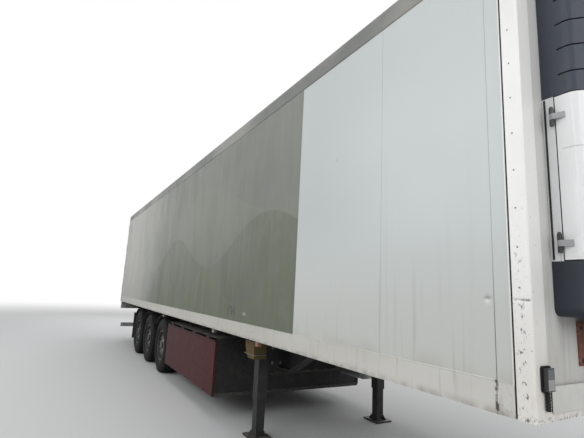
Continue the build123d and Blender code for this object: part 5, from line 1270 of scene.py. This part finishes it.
# Landing gear bolts, the bent wire that holds the chock, and seats of the side lamps
LEG_FACE = 3.075
leg_bolts = bolts(0.012, 0.010, "front", grid([LEG_FACE], [-0.83, -0.71], [0.86, 1.04]))
pair("leg_bolts", leg_bolts, RIVET_DARK)
CHOCK_LEVEL = 0.985
WIRE_CORNERS = ((2.990, -1.012), (2.990, -1.181), (3.271, -1.181), (3.271, -1.009), (3.092, -1.009))
chock_wire = pipe([(x, y, CHOCK_LEVEL) for x, y in WIRE_CORNERS], 0.005, 0.02)
piece("chock_wire", chock_wire, "trailer", RIVET_DARK)
SIDE_LAMPS_X = [3.547, 2.101, -0.913, -5.700]
SIDE_LAMP_Y = -1.264
lamp_seat = slab(0.094, 0.066, 0.004, 0.008, 0.001)
lamp_seats = lamp_seat.at(*grid(SIDE_LAMPS_X, [SIDE_LAMP_Y], [SILL_BOTTOM - 0.002]))
pair("side_lamp_seats", lamp_seats, BLACK_PLASTIC)


# Running gear: dampers, air lines in the beams and hoses to the brakes

def damper(length):
    """A shock absorber standing on z = 0: a slim rod, then a wide tube, with a plain eye at each end."""
    eye = 0.018
    return lathe([(0, 0), (eye, 0), (eye, 0.045), (0.032, 0.050), (0.032, 0.17), (0.041, 0.175),
                  (0.041, length - 0.045), (eye, length - 0.040), (eye, length), (0, length)], 20)


WHEELS = {joint["child"]: joint["pos_m"] for joint in frame["joints"] if joint["child"].startswith("wheel_")}
axle_x = sorted({round(place[0], 4) for place in WHEELS.values()})
at_axles = [(x, 0, 0) for x in axle_x]

# Each damper stands inboard of its beam, with pins that reach the arm below and the web above
DAMPER_Y = -0.53
PIN_START = -0.495
PIN_RADIUS = 0.011
PIN_LENGTH = 0.152
damper_foot, damper_head = (-0.090, 0.625), (0.170, 0.920)
damper_rise = (damper_head[0] - damper_foot[0], damper_head[1] - damper_foot[1])
damper_tilt = atan2(*damper_rise)
damper_length = float(np.hypot(*damper_rise))
pin_profile = [(0, 0), (PIN_RADIUS, 0), (PIN_RADIUS, PIN_LENGTH), (0, PIN_LENGTH)]
damper_pin = lathe(pin_profile, 12).facing("right").at((0, PIN_START, 0))
dampers = damper(damper_length).turned("Y", damper_tilt).at((damper_foot[0], DAMPER_Y, damper_foot[1]))
for x, z in (damper_foot, damper_head):
    dampers = dampers + damper_pin.at((x, 0, z))
pair("dampers", dampers.at(*at_axles), CHASSIS)

LINES = (
    # y, z, radius
    (0.600, 0.809, 0.007),
    (0.619, 0.808, 0.006),
    (0.636, 0.807, 0.005),
)
LINE_REAR = -5.9
BRAKE_PATH = [(0.42, -0.600, 0.812), (0.38, -0.562, 0.812), (0.34, -0.556, 0.735), (0.22, -0.66, 0.712),
              (0.155, -0.770, 0.700), (0.150, -0.7755, 0.640)]
air_lines = join([pipe([(2.18, -y, 0.95), (2.10, -y, z), (LINE_REAR, -y, z)], radius, 0.05)
                  for y, z, radius in LINES])
brake_hose = pipe(BRAKE_PATH, 0.008, 0.05)
pair("air_lines", air_lines + brake_hose.at(*at_axles), SEAL_RUBBER)
CLIPS_X = np.arange(-5.6, 2.0, 0.62)
line_clips = slab(0.024, 0.062, 0.003, 0.004, 0.001).at(*grid(CLIPS_X, [-0.618], [0.8175]))
pair("line_clips", line_clips, BOLT_ZINC)

# Wheels
TYRE_RADIUS = 0.530
BEAD_RADIUS = 0.290
BEAD_HALF = 0.149
SIDEWALL_HALF = 0.191
TREAD_HALF = 0.148
SHOULDER_RADIUS = 0.503
SHOULDER_REACH = 0.014
CROWN_DROP = 0.004
SIDE_RINGS = (
    # radius, thickness, how far proud
    (0.322, 0.006, 0.0035),
    (0.468, 0.004, 0.0015),
    (0.480, 0.003, 0.0012),
)
GROOVES = (-0.094, -0.047, 0.0, 0.047, 0.094)
GROOVE_HALF = 0.0055
GROOVE_DEPTH = 0.013
GROOVE_WAVER = 0.0022
TYRE_STEPS = 180
SHOULDER_NOTCHES = 36
NOTCH_DEPTH = 0.006
NUT_CIRCLE = 0.1675
NUT_COUNT = 10
HUB_BOLT_CIRCLE = 0.100
HUB_EDGE = 0.072
DISC_FACE = 0.112
HUB_FACE = 0.157


def tyre_section():
    """Half of the section, from bead to tread: the wall bows out as the sine of its share of the
    height, with a rim guard and two thin rings, and a quarter ellipse rounds the shoulder."""
    share = np.linspace(0, 1, 26)
    radius = BEAD_RADIUS + share * (SHOULDER_RADIUS - BEAD_RADIUS)
    half = BEAD_HALF + share * (TREAD_HALF + SHOULDER_REACH - BEAD_HALF)
    bow = SIDEWALL_HALF - BEAD_HALF - 0.008
    half = half + bow * np.sin(pi * share**0.85)
    for ring, thick, proud in SIDE_RINGS:
        half = half + proud * np.exp(-(((radius - ring) / thick) ** 2))
    turn = np.linspace(0, pi / 2, 6)[1:]
    shoulder_half = TREAD_HALF + SHOULDER_REACH * np.cos(turn)
    shoulder_radius = SHOULDER_RADIUS + (TYRE_RADIUS - CROWN_DROP - SHOULDER_RADIUS) * np.sin(turn)
    return np.concatenate((half, shoulder_half)), np.concatenate((radius, shoulder_radius))


def tyre_shape():
    """A tyre about the y axis: its section carried round, with straight grooves that waver by a
    triangle wave of the angle, and short notches in the shoulders."""
    half, radius = tyre_section()
    marks = [(g + s * GROOVE_HALF * k, -GROOVE_DEPTH * (k < 1)) for g in GROOVES
             for s, k in ((-1, 1.0), (-1, 0.7), (1, 0.7), (1, 1.0))]
    tread = np.array(sorted(marks))
    wall = np.zeros(len(half))
    across = np.concatenate((-half, tread[:, 0], half[::-1]))
    sunk = np.concatenate((wall, tread[:, 1], wall))
    crown = TYRE_RADIUS - CROWN_DROP * (tread[:, 0] / TREAD_HALF) ** 2
    height = np.concatenate((radius, crown, radius[::-1])) + sunk
    angle = np.arange(TYRE_STEPS) * 2 * pi / TYRE_STEPS
    waver = GROOVE_WAVER * (2 * np.abs(2 * ((angle * 30 / pi) % 1) - 1) - 1)
    on_tread = np.concatenate((wall, np.ones(len(tread)), wall))
    y = across + waver[:, None] * on_tread
    notch = (np.cos(angle * SHOULDER_NOTCHES) > 0.75)[:, None]
    shoulder = np.exp(-(((np.abs(across) - 0.156) / 0.008) ** 2)) * (height > 0.49)
    reach = height - NOTCH_DEPTH * notch * shoulder
    rings = np.stack((reach * np.cos(angle)[:, None], y, reach * np.sin(angle)[:, None]), -1)
    return skin(rings, loop=True)


def wheel_fittings():
    """Nuts with their studs between the hand holes, a ring of small bolts and a flange on the hub, and
    a valve stem; and the hub's lid. Both are about the wheel's own centre and face the right."""
    stud = lathe([(0, 0.012), (0.0105, 0.012), (0.0105, 0.032), (0, 0.034)], 12)
    nut = hex_head(0.0165, 0.022, 1.25) + stud
    nuts = nut.at((NUT_CIRCLE, 0, 0)).ringed(NUT_COUNT, "Z", pi / 10)
    small = hex_head(0.007, 0.006).at((HUB_BOLT_CIRCLE, 0, 0)).ringed(NUT_COUNT, "Z")
    flange = lathe([(HUB_EDGE - 0.002, 0), (HUB_EDGE + 0.050, 0), (HUB_EDGE + 0.047, 0.008),
                    (HUB_EDGE, 0.010)], 40)
    stem = pipe([(0.228, 0, -0.002), (0.236, 0, 0.014), (0.262, 0, 0.030)], 0.004, 0.01)
    lid = lathe([(0, 0.004), (0.046, 0.004), (0.060, 0.001), (0.064, -0.001), (0, -0.001)], 32)
    on_disc = nuts + small.at((0, 0, 0.008)) + flange + stem
    return on_disc.at((0, 0, DISC_FACE)).facing("right"), lid.at((0, 0, HUB_FACE)).facing("right")


on_disc, hub_lid = wheel_fittings()
for wheel, place in WHEELS.items():
    for part, shape, finish, slot in (("nuts", on_disc, BOLT_ZINC, "galvanised"),
                                      ("hub_lid", hub_lid, RIM, "rim_paint")):
        sided = shape.mirrored() if "left" in wheel else shape
        piece(f"{wheel}_{part}", sided.at(place), wheel, finish)

tyre = tyre_shape()
tyre_reach = np.hypot(tyre.points[:, 0], tyre.points[:, 2])
for wheel, place in WHEELS.items():
    made = piece(f"{wheel}_tread", tyre.at(place), wheel, TYRE, 40.0, f"{wheel}_tyre")
    made.data.attributes.new("wheel_radius", "FLOAT", "POINT").data.foreach_set("value", tyre_reach)

# Stage, light and camera
WORLD_LIGHT = 0.34
SOFTBOXES = (
    # name, place, aims at, width, height, watts
    ("overhead", (0.0, 0.0, 11.0), (0.0, 0.0, 0.0), 18.0, 8.0, 420.0),
    ("right", (1.5, -11.0, 7.0), (0.5, 0.0, 1.8), 18.0, 6.0, 640.0),
    ("left", (-1.5, 11.0, 7.0), (-0.5, 0.0, 1.8), 18.0, 6.0, 560.0),
    ("front", (15.0, -2.5, 6.5), (6.0, 0.0, 1.8), 7.0, 5.0, 380.0),
    ("rear", (-15.0, 1.5, 6.5), (-6.0, 0.0, 1.8), 7.0, 5.0, 270.0),
)
FLOOR_HALF = 200.0
FADE_START = 9.0
FADE_END = 34.0
CLIP_END = 300.0


def sky():
    """White all round: plain light on surfaces, full white to the camera and in mirrors and glass."""
    world = bpy.data.worlds.new("studio")
    bpy.context.scene.world = world
    world.use_nodes = True
    nodes = Nodes(world.node_tree)
    seen = [nodes.add("LightPath", output=kind)
            for kind in ("Is Camera Ray", "Is Glossy Ray", "Is Transmission Ray")]
    shown = seen[0].most(seen[1]).most(seen[2])
    strength = shown * (1.0 - WORLD_LIGHT) + WORLD_LIGHT
    background = world.node_tree.nodes["Background"]
    background.inputs["Color"].default_value = (1.0, 1.0, 1.0, 1.0)
    world.node_tree.links.new(strength.socket, background.inputs["Strength"])


def softboxes():
    """Wide lamps over and round the object."""
    for name, place, target, width, height, watts in SOFTBOXES:
        lamp = bpy.data.lights.new(name, "AREA")
        lamp.shape = "RECTANGLE"
        lamp.size = width
        lamp.size_y = height
        lamp.energy = watts
        made = bpy.data.objects.new(name, lamp)
        bpy.context.scene.collection.objects.link(made)
        aim = (Vector(target) - Vector(place)).to_track_quat("-Z", "Y")
        made.matrix_world = Matrix.Translation(place) @ aim.to_matrix().to_4x4()


def stage_floor():
    """A pale studio floor, one wide square that fades to white far out."""
    corners = [(-FLOOR_HALF, -FLOOR_HALF, 0), (FLOOR_HALF, -FLOOR_HALF, 0),
               (FLOOR_HALF, FLOOR_HALF, 0), (-FLOOR_HALF, FLOOR_HALF, 0)]
    mesh = bpy.data.meshes.new("stage_floor")
    mesh.from_pydata(corners, [], [(0, 1, 2, 3)])
    made = bpy.data.objects.new("stage_floor", mesh)
    bpy.context.scene.collection.objects.link(made)
    finish = Finish("pale_floor", srgb(212, 213, 214), 0.9)
    far = finish.add("VectorMath", {"operation": "LENGTH"}, {0: finish.object_place}, output="Value")
    seen = finish.add("LightPath", output="Is Camera Ray")
    white = finish.add("Emission", {}, {"Color": (1, 1, 1, 1), "Strength": 1.0})
    blend = finish.add("MixShader", {}, {"Fac": far.rise(FADE_START, FADE_END) * seen, 2: white})
    finish.done()
    finish.tree.links.new(finish.shader.outputs[0], blend.socket.node.inputs[1])
    finish.tree.links.new(blend.socket, finish.tree.nodes["Material Output"].inputs["Surface"])
    made.data.materials.append(finish.material)


def camera():
    """The photograph's view: turned by yaw and pitch from the -x direction, then rolled."""
    ahead = Vector((-cos(CAMERA_YAW) * cos(CAMERA_PITCH), sin(CAMERA_YAW) * cos(CAMERA_PITCH),
                    sin(CAMERA_PITCH)))
    right = ahead.cross(Vector((0, 0, 1))).normalized()
    up = right.cross(ahead)
    rolled_right = right * cos(CAMERA_ROLL) + up * sin(CAMERA_ROLL)
    rolled_up = up * cos(CAMERA_ROLL) - right * sin(CAMERA_ROLL)
    data = bpy.data.cameras.new("camera")
    data.lens = CAMERA_LENS
    data.sensor_width = SENSOR
    data.sensor_fit = "HORIZONTAL"
    data.clip_end = CLIP_END
    made = bpy.data.objects.new("camera", data)
    bpy.context.scene.collection.objects.link(made)
    turn = Matrix((rolled_right, rolled_up, -ahead)).transposed()
    made.matrix_world = Matrix.Translation(CAMERA_PLACE) @ turn.to_4x4()
    bpy.context.scene.camera = made


sky()
softboxes()
stage_floor()
camera()
bpy.context.scene.view_settings.view_transform = "Standard"
